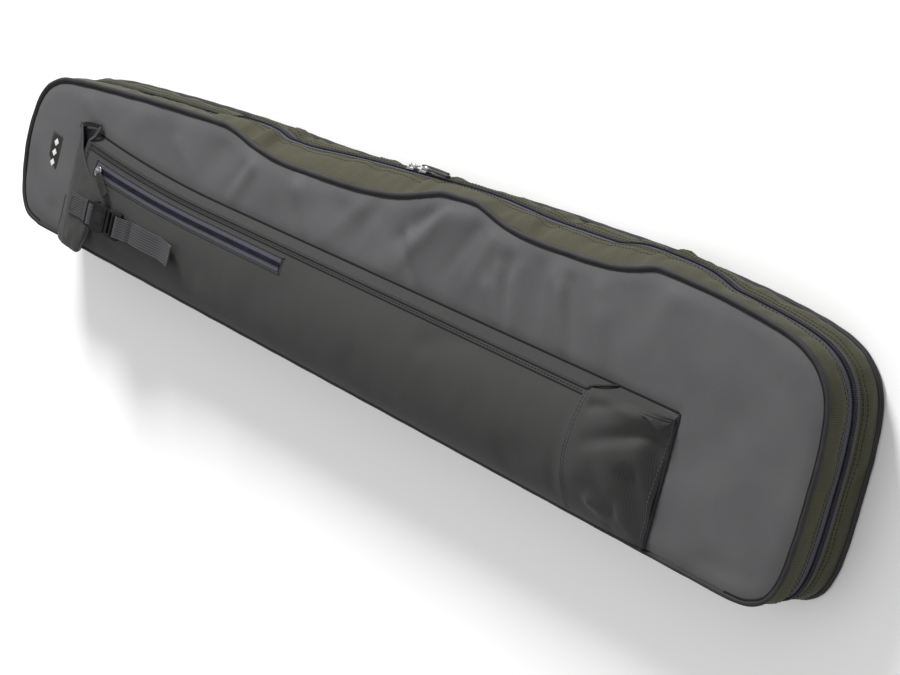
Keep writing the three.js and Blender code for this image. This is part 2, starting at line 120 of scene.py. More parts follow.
def wave(nodes, links, vector, axis, distortion=0.0):
    tex = nodes.new("ShaderNodeTexWave")
    tex.bands_direction = axis
    tex.inputs["Scale"].default_value = 1.0
    tex.inputs["Distortion"].default_value = distortion
    tex.inputs["Detail"].default_value = 1.0
    links.new(vector, tex.inputs["Vector"])
    return tex.outputs["Fac"]


def noise_tex(nodes, links, vector, scale, detail=3.0):
    tex = nodes.new("ShaderNodeTexNoise")
    tex.inputs["Scale"].default_value = scale
    tex.inputs["Detail"].default_value = detail
    links.new(vector, tex.inputs["Vector"])
    return tex.outputs["Fac"]


def combine(nodes, links, operation, a, b):
    node = nodes.new("ShaderNodeMath")
    node.operation = operation
    for socket, value in zip(node.inputs, (a, b)):
        if isinstance(value, (int, float)):
            socket.default_value = value
        else:
            links.new(value, socket)
    return node.outputs[0]


def ramp(nodes, links, fac, low, high, start=0.0, end=1.0):
    node = nodes.new("ShaderNodeValToRGB")
    node.color_ramp.elements[0].color = (*low, 1)
    node.color_ramp.elements[1].color = (*high, 1)
    node.color_ramp.elements[0].position = start
    node.color_ramp.elements[1].position = end
    links.new(fac, node.inputs["Fac"])
    return node.outputs["Color"]


def bump(nodes, links, height, distance, strength, normal=None):
    node = nodes.new("ShaderNodeBump")
    node.inputs["Distance"].default_value = distance
    node.inputs["Strength"].default_value = strength
    links.new(height, node.inputs["Height"])
    if normal is not None:
        links.new(normal, node.inputs["Normal"])
    return node.outputs["Normal"]


def woven(name, low, high, pitch, depth, roughness, turn=0.0, ribs=(1.0, 1.0), twill=0.0, sheen=0.0,
          mottle=0.12, shine=0.2):
    """Woven cloth: low and high are the colours between and on its threads, pitch their spacing in mm."""
    mat, nodes, links = new_material(name)
    shader = nodes["Principled BSDF"]
    step = 0.31416 / (pitch / 1000)
    vector = mapped(nodes, links, (step * ribs[0], step * ribs[1], step), turn)
    warp = wave(nodes, links, vector, "X", 0.4)
    weft = wave(nodes, links, vector, "Y", 0.4)
    threads = combine(nodes, links, "MULTIPLY", warp, weft)
    if twill:
        slant = wave(nodes, links, vector, "DIAGONAL", 0.3)
        threads = combine(nodes, links, "ADD", combine(nodes, links, "MULTIPLY", threads, 1 - twill),
                          combine(nodes, links, "MULTIPLY", slant, twill))
    plain = mapped(nodes, links, (1, 1, 1))
    blotch = noise_tex(nodes, links, plain, 14.0, 4.0)
    fuzz = noise_tex(nodes, links, plain, 900.0, 2.0)
    shade = combine(nodes, links, "ADD", combine(nodes, links, "MULTIPLY", threads, 1 - mottle),
                    combine(nodes, links, "MULTIPLY", blotch, mottle * 1.6))
    links.new(ramp(nodes, links, shade, low, high, 0.05, 0.85), shader.inputs["Base Color"])
    shader.inputs["Roughness"].default_value = roughness
    shader.inputs["Sheen Weight"].default_value = sheen
    shader.inputs["Sheen Roughness"].default_value = 0.45
    shader.inputs["Specular IOR Level"].default_value = shine
    fine = bump(nodes, links, fuzz, 0.0002, 0.25)
    links.new(bump(nodes, links, threads, depth / 1000, 0.6, fine), shader.inputs["Normal"])
    return mat


def moulded(name, low, high, roughness, grain=700.0, depth=0.08, metallic=0.0, shine=0.3):
    """Moulded plastic, rubber or plated metal with a fine grain and soft uneven wear."""
    mat, nodes, links = new_material(name)
    shader = nodes["Principled BSDF"]
    coords = nodes.new("ShaderNodeTexCoord").outputs["Object"]
    wear = noise_tex(nodes, links, coords, 60.0, 5.0)
    grains = noise_tex(nodes, links, coords, grain, 2.0)
    links.new(ramp(nodes, links, wear, low, high, 0.3, 0.75), shader.inputs["Base Color"])
    rough = nodes.new("ShaderNodeMapRange")
    rough.inputs["To Min"].default_value = roughness * 0.85
    rough.inputs["To Max"].default_value = min(1.0, roughness * 1.25)
    links.new(wear, rough.inputs["Value"])
    links.new(rough.outputs["Result"], shader.inputs["Roughness"])
    shader.inputs["Metallic"].default_value = metallic
    shader.inputs["Specular IOR Level"].default_value = shine
    links.new(bump(nodes, links, grains, depth / 1000, 0.35), shader.inputs["Normal"])
    return mat


MAT = {
    "laminate": woven("laminate_cloth", (0.047, 0.047, 0.05), (0.108, 0.108, 0.111), 1.3, 0.07, 0.66,
                      turn=0.78, sheen=0.04, mottle=0.35, shine=0.22),
    "gusset": woven("gusset_cloth", (0.028, 0.0275, 0.016), (0.078, 0.075, 0.046), 1.5, 0.16, 0.8,
                    sheen=0.05),
    "spine": woven("spine_cloth", (0.01, 0.01, 0.013), (0.036, 0.036, 0.044), 1.6, 0.2, 0.8, sheen=0.05),
    "pocket": woven("pocket_cloth", (0.026, 0.0255, 0.025), (0.054, 0.053, 0.052), 1.3, 0.12, 0.75,
                    turn=0.6, twill=0.35, sheen=0.05),
    "zip_tape": woven("zip_tape_cloth", (0.036, 0.037, 0.046), (0.095, 0.097, 0.118), 1.2, 0.1, 0.8,
                      ribs=(0.6, 1.5)),
    "webbing": woven("webbing_cloth", (0.012, 0.012, 0.013), (0.088, 0.088, 0.094), 2.4, 0.4, 0.75,
                     ribs=(1.6, 0.9), twill=0.2, sheen=0.06),
    "binding": woven("binding_cloth", (0.014, 0.014, 0.015), (0.06, 0.06, 0.062), 1.4, 0.2, 0.8,
                     ribs=(1.6, 0.9)),
    "lining": woven("lining_cloth", (0.016, 0.016, 0.019), (0.055, 0.055, 0.062), 1.2, 0.12, 0.92,
                    shine=0.08),
    "piping": moulded("piping_cover", (0.018, 0.018, 0.019), (0.03, 0.03, 0.032), 0.6, shine=0.2),
    # Near-black painted shade: thin tubes of it darken the crevices beside the piping, along the pocket's top
    # and beside its ridge.
    "seam": moulded("seam_shadow", (0.003, 0.003, 0.003), (0.008, 0.008, 0.008), 0.9),
    "thread": moulded("grey_thread", (0.05, 0.05, 0.052), (0.11, 0.11, 0.11), 0.8, 1500.0),
    "dark_thread": moulded("dark_thread", (0.004, 0.004, 0.004), (0.012, 0.012, 0.013), 0.8, 1500.0),
    "olive_thread": moulded("olive_thread", (0.008, 0.009, 0.004), (0.02, 0.021, 0.012), 0.8, 1500.0),
    "coil": moulded("nylon_coil", (0.004, 0.004, 0.009), (0.014, 0.014, 0.028), 0.35),
    "buckle": moulded("acetal", (0.004, 0.004, 0.004), (0.012, 0.012, 0.013), 0.62, 900.0, 0.12, shine=0.16),
    "puller": moulded("black_rubber", (0.006, 0.006, 0.005), (0.018, 0.018, 0.016), 0.5, 900.0, 0.12),
    "grip": moulded("soft_grip", (0.005, 0.005, 0.005), (0.016, 0.016, 0.016), 0.7, 400.0, 0.3),
    "slider": moulded("nickel", (0.3, 0.3, 0.31), (0.5, 0.5, 0.51), 0.3, 800.0, 0.02, 1.0, 0.5),
    "patch": moulded("label_rubber", (0.008, 0.009, 0.007), (0.02, 0.022, 0.018), 0.5, 500.0, 0.15),
    "pale": moulded("pale_rubber", (0.5, 0.5, 0.49), (0.68, 0.68, 0.67), 0.5, 500.0, 0.1),
}


# ---------------------------------------------------------------- mesh helpers
def make(name, verts, faces, uvs, material, body=None, sharp=38):
    """uvs holds one list of (u, v) per face, in metres along and across the cloth."""
    mesh = bpy.data.meshes.new(name)
    mesh.from_pydata([tuple(v) for v in verts], [], faces)
    layer = mesh.uv_layers.new(name="cloth")
    layer.data.foreach_set("uv", np.array([c for face in uvs for uv in face for c in uv], np.float32))
    mesh.polygons.foreach_set("use_smooth", [True] * len(mesh.polygons))
    mesh.set_sharp_from_angle(angle=math.radians(sharp))
    mesh.update()
    obj = bpy.data.objects.new(name, mesh)
    bpy.context.scene.collection.objects.link(obj)
    obj.data.materials.append(MAT[material])
    outward(obj)
    if body:
        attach(obj, body)
    return obj


def outward(obj):
    work = bmesh.new()
    work.from_mesh(obj.data)
    bmesh.ops.recalc_face_normals(work, faces=work.faces)
    work.to_mesh(obj.data)
    work.free()


def loft(name, sections, material, body=None, ring=False, sharp=38):
    """A closed skin through matching closed sections."""
    rows, sides = len(sections), len(sections[0])
    verts = [p for section in sections for p in section]
    along = [0.0]
    for a, b in zip(sections, sections[1:] + sections[:1]):
        along.append(along[-1] + (b[0] - a[0]).length)
    around = [0.0]
    middle = sections[rows // 2]
    for j in range(sides):
        around.append(around[-1] + (middle[(j + 1) % sides] - middle[j]).length)
    faces, uvs = [], []
    for i in range(rows if ring else rows - 1):
        n = (i + 1) % rows
        for j in range(sides):
            k = (j + 1) % sides
            faces.append((i * sides + j, i * sides + k, n * sides + k, n * sides + j))
            uvs.append([(along[i], around[j]), (along[i], around[j + 1]), (along[i + 1], around[j + 1]),
                        (along[i + 1], around[j])])
    if not ring:
        for start in (0, (rows - 1) * sides):
            faces.append(tuple(range(start, start + sides)))
            uvs.append([(0.01 * math.cos(j), 0.01 * math.sin(j)) for j in range(sides)])
    return make(name, verts, faces, uvs, material, body, sharp)


def strip_section(centre, across, up, width, thick):
    """A flat tape's section with rounded edges."""
    w, t = width / 2000, thick / 2000
    corners = [(-w, -t * 0.5), (-w * 0.97, -t), (w * 0.97, -t), (w, -t * 0.5), (w, t * 0.5), (w * 0.97, t),
               (w * 0.5, t), (0, t), (-w * 0.5, t), (-w * 0.97, t), (-w, t * 0.5)]
    return [centre + across * a + up * b for a, b in corners]


def tube(name, path, radius, sides, material, body=None, ring=False, up=UP):
    sections = []
    count = len(path)
    for i, p in enumerate(path):
        before = path[(i - 1) % count] if ring or i else p
        after = path[(i + 1) % count] if ring or i < count - 1 else p
        along = (after - before).normalized()
        side = along.cross(up).normalized()
        top = side.cross(along)
        r = (radius(i) if callable(radius) else radius) / 1000
        turns = [2 * math.pi * k / sides for k in range(sides)]
        sections.append([p + side * (r * math.cos(a)) + top * (r * math.sin(a)) for a in turns])
    return loft(name, sections, material, body, ring)


def stamp(name, template, faces, frames, material, body=None, slot=None):
    """One mesh holding a copy of a small closed shape at every frame (origin, x, y, z axes)."""
    shape = np.array(template, float)
    verts = []
    for origin, x, y, z in frames:
        basis = np.array([x, y, z], float)
        verts.append(shape @ basis + np.array(origin, float))
    verts = np.concatenate(verts)
    count = len(shape)
    all_faces = [tuple(i + k * count for i in face) for k in range(len(frames)) for face in faces]
    uvs = [[(0.0, 0.0)] * len(face) for face in all_faces]
    return make(name, verts, all_faces, uvs, material, body)


def capsule(length, radius, flat=1.0, sides=6):
    """Vertices and faces of a small rounded bar along x, in metres."""
    rings = [(-0.5, 0.35), (-0.38, 0.85), (0.0, 1.0), (0.38, 0.85), (0.5, 0.35)]
    verts, faces = [], []
    for at, grow in rings:
        for k in range(sides):
            turn = 2 * math.pi * k / sides
            verts.append((length * at, radius * grow * math.cos(turn), radius * grow * flat * math.sin(turn)))
    for i in range(len(rings) - 1):
        for k in range(sides):
            n = (k + 1) % sides
            faces.append((i * sides + k, i * sides + n, (i + 1) * sides + n, (i + 1) * sides + k))
    last = (len(rings) - 1) * sides
    faces.append(tuple(range(sides)))
    faces.append(tuple(range(last, last + sides)))
    return [(x / 1000, y / 1000, z / 1000) for x, y, z in verts], faces


def walk(path, pitch):
    """Points every pitch mm along a path, with the direction there."""
    lengths = [0.0]
    for a, b in zip(path, path[1:]):
        lengths.append(lengths[-1] + (b - a).length)
    found = []
    steps = int(lengths[-1] * 1000 / pitch)
    i = 0
    for n in range(steps):
        target = (n + 0.5) * lengths[-1] / steps
        while lengths[i + 1] < target:
            i += 1
        share = (target - lengths[i]) / max(1e-9, lengths[i + 1] - lengths[i])
        found.append((path[i].lerp(path[i + 1], share), (path[i + 1] - path[i]).normalized(), i))
    return found


def stitches(name, path, up, body, material="thread", slot="pocket", pitch=4.2, length=3.0, radius=0.42,
             lift=0.2):
    """A row of stitches along a path. up gives the way out of the cloth at each point of the path."""
    verts, faces = capsule(length, radius, 0.8, 5)
    frames = []
    for p, along, i in walk(path, pitch):
        normal = up(i) if callable(up) else up
        side = normal.cross(along).normalized()
        normal = along.cross(side).normalized()
        frames.append((p + normal * (lift / 1000), along, side, normal))
    return stamp(name, verts, faces, frames, material, body, slot)


def plate(name, loops, low, high, bevel, material, body=None, place=None):
    """A flat moulding from closed outlines in its own x and y, in mm, with rounded edges."""
    curve = bpy.data.curves.new(name, "CURVE")
    curve.dimensions = "2D"
    curve.fill_mode = "BOTH"
    for loop in loops:
        line = curve.splines.new("POLY")
        line.points.add(len(loop) - 1)
        for point, (x, y) in zip(line.points, loop):
            point.co = (x / 1000, y / 1000, 0, 1)
        line.use_cyclic_u = True
    curve.extrude = (high - low) / 2000 - bevel / 1000
    curve.bevel_depth = bevel / 1000
    curve.bevel_resolution = 2
    curve.offset = -bevel / 1000
    source = bpy.data.objects.new(name + "_curve", curve)
    bpy.context.scene.collection.objects.link(source)
    bpy.context.view_layer.update()
    mesh = bpy.data.meshes.new_from_object(source.evaluated_get(bpy.context.evaluated_depsgraph_get()))
    bpy.data.objects.remove(source)
    bpy.data.curves.remove(curve)
    mesh.name = name
    obj = bpy.data.objects.new(name, mesh)
    bpy.context.scene.collection.objects.link(obj)
    work = bmesh.new()
    work.from_mesh(mesh)
    bmesh.ops.remove_doubles(work, verts=work.verts, dist=1e-6)
    bmesh.ops.recalc_face_normals(work, faces=work.faces)
    work.to_mesh(mesh)
    work.free()
    mesh.transform(Matrix.Translation((0, 0, (low + high) / 2000)))
    if place is not None:
        mesh.transform(place)
    flat_uv(mesh)
    mesh.polygons.foreach_set("use_smooth", [True] * len(mesh.polygons))
    mesh.set_sharp_from_angle(angle=math.radians(35))
    mesh.materials.clear()
    mesh.materials.append(MAT[material])
    if body:
        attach(obj, body)
    return obj


def flat_uv(mesh):
    """Lays the cloth pattern along each face's flattest view."""
    layer = mesh.uv_layers.get("cloth") or mesh.uv_layers.new(name="cloth")
    for poly in mesh.polygons:
        drop = max(range(3), key=lambda a: abs(poly.normal[a]))
        keep = [a for a in range(3) if a != drop]
        for i in poly.loop_indices:
            co = mesh.vertices[mesh.loops[i].vertex_index].co
            layer.data[i].uv = (co[keep[0]], co[keep[1]])


def rounded(x0, y0, x1, y1, r, steps=5):
    """A rectangle with round corners."""
    points = []
    corners = ((x1 - r, y0 + r, -90), (x1 - r, y1 - r, 0), (x0 + r, y1 - r, 90), (x0 + r, y0 + r, 180))
    for cx, cy, start in corners:
        for k in range(steps + 1):
            turn = math.radians(start + 90 * k / steps)
            points.append((cx + r * math.cos(turn), cy + r * math.sin(turn)))
    return points


# ---------------------------------------------------------------- outline of the case
def catmull(points, steps):
    """A smooth curve through points, with this many steps between each two."""
    found = []
    last = len(points) - 1
    for i in range(last):
        p0, p1 = points[max(0, i - 1)], points[i]
        p2, p3 = points[i + 1], points[min(last, i + 2)]
        for k in range(steps):
            t = k / steps
            found.append(tuple(0.5 * (2 * b + (c - a) * t + (2 * a - 5 * b + 4 * c - d) * t * t
                                      + (3 * b - 3 * c + d - a) * t ** 3)
                               for a, b, c, d in zip(p0, p1, p2, p3)))
    return found + [points[-1]]


# The case's edge, from the spine round the butt end, along the zip side and round the tip end.
CONTROLS = [
    (1040, 0), (1066, 3), (1086, 15), (1096, 38), (1099.5, 73), (1100, 113), (1099.5, 153),
    (1095, 190), (1083, 216), (1060, 234),
    (1025, 243), (965, 247), (905, 247), (860, 245.5), (820, 243.5), (780, 240.5), (740, 237), (700, 234),
    (660, 230), (625, 226), (590, 221.5), (555, 216.5), (520, 212), (480, 207), (440, 202.5), (400, 199),
    (360, 196), (320, 193), (286, 190), (240, 185.5), (170, 177.5), (100, 168), (50, 160),
    (26, 151), (10, 134), (3, 108), (2, 78), (6, 47), (13, 22), (26, 6), (48, 0),
]


def resample(points, step):
    lengths = [0.0]
    for a, b in zip(points, points[1:]):
        lengths.append(lengths[-1] + math.dist(a, b))
    count = int(lengths[-1] / step)
    found, i = [], 0
    for n in range(count + 1):
        target = lengths[-1] * n / count
        while i < len(lengths) - 2 and lengths[i + 1] < target:
            i += 1
        t = (target - lengths[i]) / (lengths[i + 1] - lengths[i])
        found.append((lerp(points[i][0], points[i + 1][0], t), lerp(points[i][1], points[i + 1][1], t)))
    return found


EDGE = resample(catmull(CONTROLS, 16), 3.6)
COUNT = len(EDGE)


def on_zip_side(y):
    return smooth((y - 120) / 30)


def inward(i):
    if i == 0 or i == COUNT - 1:
        return (0.0, 1.0)
    (ax, ay), (bx, by) = EDGE[i - 1], EDGE[i + 1]
    length = math.hypot(bx - ax, by - ay)
    return (-(by - ay) / length, (bx - ax) / length)


INWARD = [inward(i) for i in range(COUNT)]


def edge_point(i, level, inset, kind=0.0):
    """A point on the wall: kind is -1 at the back edge, 0 at the zip line and 1 at the front edge."""
    x, y = EDGE[i]
    shift = on_zip_side(y) * (swell(LOBES, x) * (1 - abs(kind)) - swell(DIPS, x) * max(0.0, kind))
    nx, ny = INWARD[i]
    return P(x + nx * inset, y + shift + ny * inset, level)


def out_of(i):
    nx, ny = INWARD[i]
    return direction(-nx, -ny, 0)


def edge_wave(i, seed):
    """The slow uneven run of a sewn edge, in mm."""
    x, y = EDGE[i]
    return 1.1 * wobble(x / 55, y / 55, 0, seed) + 0.5 * wobble(x / 19, y / 19, 3, seed)


# ---------------------------------------------------------------- camera, light and floor
def studio():
    camera = bpy.data.cameras.new("camera")
    camera.lens = 136
    camera.sensor_width = 36
    camera.clip_end = 60
    holder = bpy.data.objects.new("camera", camera)
    right = Vector((-0.681, -0.2368, -0.6929)).normalized()
    forward = Vector((0.6433, 0.2585, -0.7206)).normalized()
    up = right.cross(forward)
    holder.matrix_world = Matrix.Translation((-2.162, -0.7994, 2.383)) @ Matrix((
        (right.x, up.x, -forward.x), (right.y, up.y, -forward.y), (right.z, up.z, -forward.z))).to_4x4()
    bpy.context.scene.collection.objects.link(holder)
    bpy.context.scene.camera = holder

    def lamp(name, place, target, size, power):
        data = bpy.data.lights.new(name, "AREA")
        data.size = size
        data.energy = power
        light = bpy.data.objects.new(name, data)
        light.location = place
        light.rotation_euler = (Vector(target) - Vector(place)).to_track_quat("-Z", "Y").to_euler()
        bpy.context.scene.collection.objects.link(light)

    lamp("key", (1.3, -2.5, 1.5), (0, 0, 0.05), 0.8, 138)
    lamp("fill", (-2.6, 0.9, 1.9), (0, 0, 0.05), 2.2, 10)
    lamp("top", (0.3, 0.4, 3.2), (0, 0, 0.05), 2.6, 14)
    world = bpy.data.worlds.new("studio")
    world.use_nodes = True
    sky = world.node_tree.nodes["Background"]
    sky.inputs["Color"].default_value = (1, 1, 1, 1)
    sky.inputs["Strength"].default_value = 0.56
    bpy.context.scene.world = world
    bpy.context.scene.view_settings.view_transform = "Standard"

    mesh = bpy.data.meshes.new("floor")
    reach = 14
    corners = [(-reach, -reach, 0), (reach, -reach, 0), (reach, reach, 0), (-reach, reach, 0)]
    mesh.from_pydata(corners, [], [(0, 1, 2, 3)])
    floor = bpy.data.objects.new("floor", mesh)
    floor.location.z = -0.0006
    bpy.context.scene.collection.objects.link(floor)
    mat, nodes, _ = new_material("pale_floor")
    shader = nodes["Principled BSDF"]
    shader.inputs["Base Color"].default_value = (0.93, 0.93, 0.93, 1)
    shader.inputs["Roughness"].default_value = 0.9
    floor.data.materials.append(mat)


# ---------------------------------------------------------------- panels
# Soft folds of the front: start, end, half width, height.
FOLDS = [
    ((640, 222), (545, 122), 15, 2.6), ((610, 214), (560, 170), 9, -1.8), ((590, 168), (612, 132), 9, 1.6),
    ((342, 170), (322, 118), 12, 1.8), ((300, 168), (276, 124), 14, -1.5), ((421, 168), (462, 130), 12, 1.8),
    ((455, 182), (520, 140), 16, -2.0), ((690, 160), (708, 128), 9, 2.2), ((722, 190), (734, 140), 8, 2.0),
    ((706, 192), (716, 140), 8, -1.8), ((765, 196), (797, 138), 10, 2.2), ((745, 205), (756, 150), 9, -1.8),
    ((832, 180), (850, 142), 12, 1.7), ((860, 220), (905, 160), 24, -1.2), ((930, 236), (985, 150), 30, 1.5),
    ((470, 186), (380, 150), 14, 1.5), ((700, 215), (650, 140), 18, 1.4), ((1012, 16), (1085, 26), 14, -1.6),
    ((12, 62), (64, 20), 10, -1.4), ((84, 150), (112, 130), 8, 1.5), ((180, 172), (150, 134), 14, 1.2),
    ((990, 20), (960, 110), 22, 1.2), ((1060, 60), (1000, 200), 30, 1.2),
    ((618, 212), (572, 140), 6, 2.4), ((596, 200), (556, 158), 5, -2.0), ((577, 172), (603, 136), 5, 2.2),
    ((566, 166), (590, 134), 5, -2.0), ((660, 208), (628, 150), 7, -1.8), ((682, 206), (662, 150), 7, 1.6),
    ((697, 180), (712, 132), 5, 2.0), ((716, 178), (728, 136), 5, 2.2), ((776, 190), (792, 142), 6, 2.0),
    ((785, 200), (806, 146), 6, -1.8), ((348, 162), (330, 122), 6, 1.8), ((336, 160), (314, 122), 6, -1.6),
    ((412, 168), (440, 128), 6, 1.6), ((428, 170), (452, 132), 6, -1.6), ((60, 36), (30, 90), 10, 1.2),
    ((820, 205), (842, 150), 8, 1.6), ((236, 150), (262, 128), 8, 1.4), ((505, 176), (470, 132), 8, 1.6),
    ((526, 186), (500, 128), 9, -1.6), ((905, 232), (880, 170), 14, 1.4), ((1010, 150), (965, 90), 20, -1.3),
]


def creases(folds, x, y):
    total = 0.0
    for (ax, ay), (bx, by), width, height in folds:
        dx, dy = bx - ax, by - ay
        t = clamp(((x - ax) * dx + (y - ay) * dy) / (dx * dx + dy * dy))
        away = math.hypot(x - ax - dx * t, y - ay - dy * t)
        if away < width * 2.6:
            total += height * math.exp(-(away / width) ** 2) * (1 - 0.7 * t)
    return total


def pocket_seam(x):
    return 112 + 0.0316 * (x - 313) + 14 * max(0, (313 - x) / 195) ** 2


def under_pocket(x, y):
    """1 where the pocket covers the panel, falling to 0 just outside it."""
    inside = min(x - POCKET_START + 6, POCKET_END + 2 - x, pocket_seam(x) + 3 - y)
    return smooth(inside / 8 + 0.5)


def loop_of(kind, inset):
    """The case's closed outline in plan, in mm, with the straight run along the spine."""
    points = []
    for i in range(COUNT):
        p = edge_point(i, 0, inset, kind)
        points.append((ALONG - p.x * 1000, ACROSS - p.y * 1000))
    start, end = points[-1], points[0]
    steps = int((end[0] - start[0]) / 6)
    return points + [(lerp(start[0], end[0], k / steps), start[1]) for k in range(1, steps)]


def panel(name, kind, inset, top, bottom, material, body, spacing):
    """A closed padded sheet: top and bottom give its heights from x, y and the distance to its edge."""
    loop = loop_of(kind, inset)
    ring = np.array(loop)
    xs = np.arange(ring[:, 0].min() + spacing / 2, ring[:, 0].max(), spacing)
    ys = np.arange(ring[:, 1].min() + spacing / 2, ring[:, 1].max(), spacing)
    grid = [(x + (spacing / 2) * (j % 2), y) for j, y in enumerate(ys) for x in xs]
    apart = np.array([np.min(np.hypot(ring[:, 0] - x, ring[:, 1] - y)) for x, y in grid])
    kept = [Vector(p) for p, d in zip(grid, apart) if d > spacing * 0.55]
    count = len(loop)
    edges = [(i, (i + 1) % count) for i in range(count)]
    coords, _, tris, *_ = delaunay_2d_cdt([Vector(p) for p in loop] + kept, edges, [], 1, 1e-5)
    total = len(coords)
    away = [float(np.min(np.hypot(ring[:, 0] - c.x, ring[:, 1] - c.y))) for c in coords]
    verts = [P(c.x, c.y, top(c.x, c.y, d)) for c, d in zip(coords, away)]
    verts += [P(c.x, c.y, bottom(c.x, c.y, d)) for c, d in zip(coords, away)]
    faces = [tuple(t) for t in tris] + [tuple(i + total for i in reversed(t)) for t in tris]
    seen = {}
    for t in tris:
        for a, b in zip(t, list(t[1:]) + [t[0]]):
            seen[(a, b)] = seen.get((a, b), 0) + 1
    faces += [(b, a, a + total, b + total) for a, b in seen if (b, a) not in seen]
    uvs = [[(verts[i].x, verts[i].y) for i in face] for face in faces]
    return make(name, verts, faces, uvs, material, body, sharp=60)


def front_height(x, y, away):
    crown = 77.3 + 3.3 * (1 - math.exp(-(away / 7) ** 2)) + 1.4 * smooth(away / 70)
    soft = 0.5 * wobble(x / 40, y / 40, 0, 1) + 1.6 * creases(FOLDS, x, y) * smooth(away / 20)
    height = crown + soft
    return lerp(height, min(height, 80.1), under_pocket(x, y))


def quilt(x, away, level):
    """The height of a lining quilted across the case every 150 mm."""
    return level + 1.3 * smooth(away / 14) * (0.55 + 0.45 * abs(math.sin(math.pi * x / 150)) ** 0.4)


def panels():
    front = panel("front_cover", 1.0, 1.2, front_height, lambda x, y, d: 72.4, "laminate", "lid", 5.5)
    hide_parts("front_panel", "front_foam")
    back = panel("back_cover", -1.0, 1.2, lambda x, y, d: 7.6, lambda x, y, d: 2.6 - 2.6 * smooth(d / 9),
                 "laminate", "back_shell", 9)
    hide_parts("back_panel", "back_foam")
    low = panel("back_compartment_lining", -1.0, 3.8, lambda x, y, d: quilt(x, d, 8.6),
                lambda x, y, d: 7.9, "lining", "back_shell", 9)
    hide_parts("back_lining")
    high = panel("front_compartment_lining", 1.0, 3.8, lambda x, y, d: 72.1,
                 lambda x, y, d: 71.4 - quilt(x, d, 0), "lining", "lid", 9)
    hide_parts("front_lining")


# ---------------------------------------------------------------- piping, gussets and zip
def piping(name, kind, level, body, node, seed):
    path = []
    for i in range(COUNT):
        rise = 0.5 * edge_wave(i, seed + 2)
        path.append(edge_point(i, level + rise, 0.4 * edge_wave(i, seed) + 0.3, kind))
    start, end = path[-1], path[0]
    steps = 150
    path += [start.lerp(end, k / steps) for k in range(1, steps)]
    obj = tube(name, path, lambda i: 2.55 + 0.12 * math.sin(i * 0.9), 10, "piping", body, ring=True)
    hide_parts(node)
    seam = [p + Vector((0, 0, 0.0022 if kind < 0 else -0.0022)) for p in path[:COUNT]]
    tube(name + "_seam", seam, 1.5, 6, "binding", body)
    # The valley tube is near-black painted shade in the crevice between the piping and the panel.
    shift = 0.0006 if kind > 0 else -0.0006
    valley_shade = [path[i] - out_of(i) * 0.0029 + Vector((0, 0, shift)) for i in range(COUNT)]
    tube(name + "_valley", valley_shade, 1.25, 6, "seam", body)


# Tucks of the soft walls on the zip side: middle, half width, depth.
TUCKS = [(322, 12, -3.2), (338, 10, 2.4), (355, 12, -2.6), (548, 12, -3.0), (563, 10, 2.2), (664, 14, -2.4),
         (700, 12, 2.0), (722, 12, -2.6), (840, 14, -2.6), (858, 10, 2.2), (250, 16, -2.0), (470, 18, 1.6)]


def puff(i, h, seed):
    """How far the soft wall stands out of its straight line, in mm. h runs from the zip to the piping."""
    x, y = EDGE[i]
    side = on_zip_side(y)
    ruck = wobble(x / 26, h * 1.3, y / 40, seed) + 0.6 * wobble(x / 11, h * 2.2, y / 18, seed + 1)
    belly = math.sin(math.pi * clamp(h)) * (1.2 + 1.6 * side)
    tuck = swell(TUCKS, x) * math.sin(math.pi * clamp(h)) ** 0.5 * side
    return belly + tuck + 2.4 * ruck * math.sin(math.pi * clamp(h)) ** 0.6


def gusset(name, low, high, kinds, body, node, seed, flip):
    """A soft wall between two levels. flip says that its zip edge is the upper one."""
    rows = 9
    sections = []
    for i in range(COUNT):
        outer, inner = [], []
        for r in range(rows + 1):
            share = r / rows
            h = 1 - share if flip else share
            kind = lerp(kinds[0], kinds[1], share)
            inset = 0.8 - puff(i, h, seed) + (0.9 if h < 0.02 else 0.0)
            level = lerp(low, high, share)
            outer.append(edge_point(i, level, inset, kind))
            inner.append(edge_point(i, level, 3.4 - 0.4 * puff(i, h, seed), kind))
        sections.append(outer + inner[::-1])
    obj = loft(name, sections, "gusset", body, sharp=50)
    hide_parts(node)
    for k, share in enumerate((0.1, 0.26) if not flip else (0.9, 0.74)):
        h = 1 - share if flip else share
        level, kind = lerp(low, high, share), lerp(kinds[0], kinds[1], share)
        path = [edge_point(i, level, 0.6 - puff(i, h, seed), kind) for i in range(COUNT)]
        stitches(f"{name}_stitches_{k}", path, out_of, body, "olive_thread", "gusset", 4.4, 3.3, lift=0.0)


def main_zip():
    for half, z0, z1, body, sign in (("back", 31.2, 37.6, "back_shell", -1), ("front", 42.4, 48.8, "lid", 1)):
        sections = []
        levels = [(r, lerp(z0, z1, r / 4)) for r in range(5)]
        for i in range(COUNT):
            outer = [edge_point(i, z, 1.2 - 0.3 * edge_wave(i, 7) * math.sin(math.pi * r / 4), 0)
                     for r, z in levels]
            inner = [edge_point(i, z, 2.2, 0) for _, z in levels]
            sections.append(outer + inner[::-1])
        tape = loft(f"{half}_zip_tape_cloth", sections, "zip_tape", body)
        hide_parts(f"{half}_zip_tape")
        path = [edge_point(i, 40, 0.4, 0) for i in range(COUNT)]
        across = UP * sign
        frames = []
        for p, along, i in walk(path, 1.9):
            centre = p + across * 0.0014 + along * (0.00045 * sign)
            frames.append((centre, across, along, out_of(i)))
        coil = stamp(f"{half}_zip_teeth", *capsule(3.9, 0.78, 1.15), frames, "coil", body)
        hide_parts(f"{half}_zip_coil")
        cord = [edge_point(i, 40 + sign * 2.3, -0.3, 0) for i in range(COUNT)]
        stitches(f"{half}_coil_stitches", cord, out_of, body, "dark_thread", "coil", 2.1, 1.7, 0.4, 0.1)


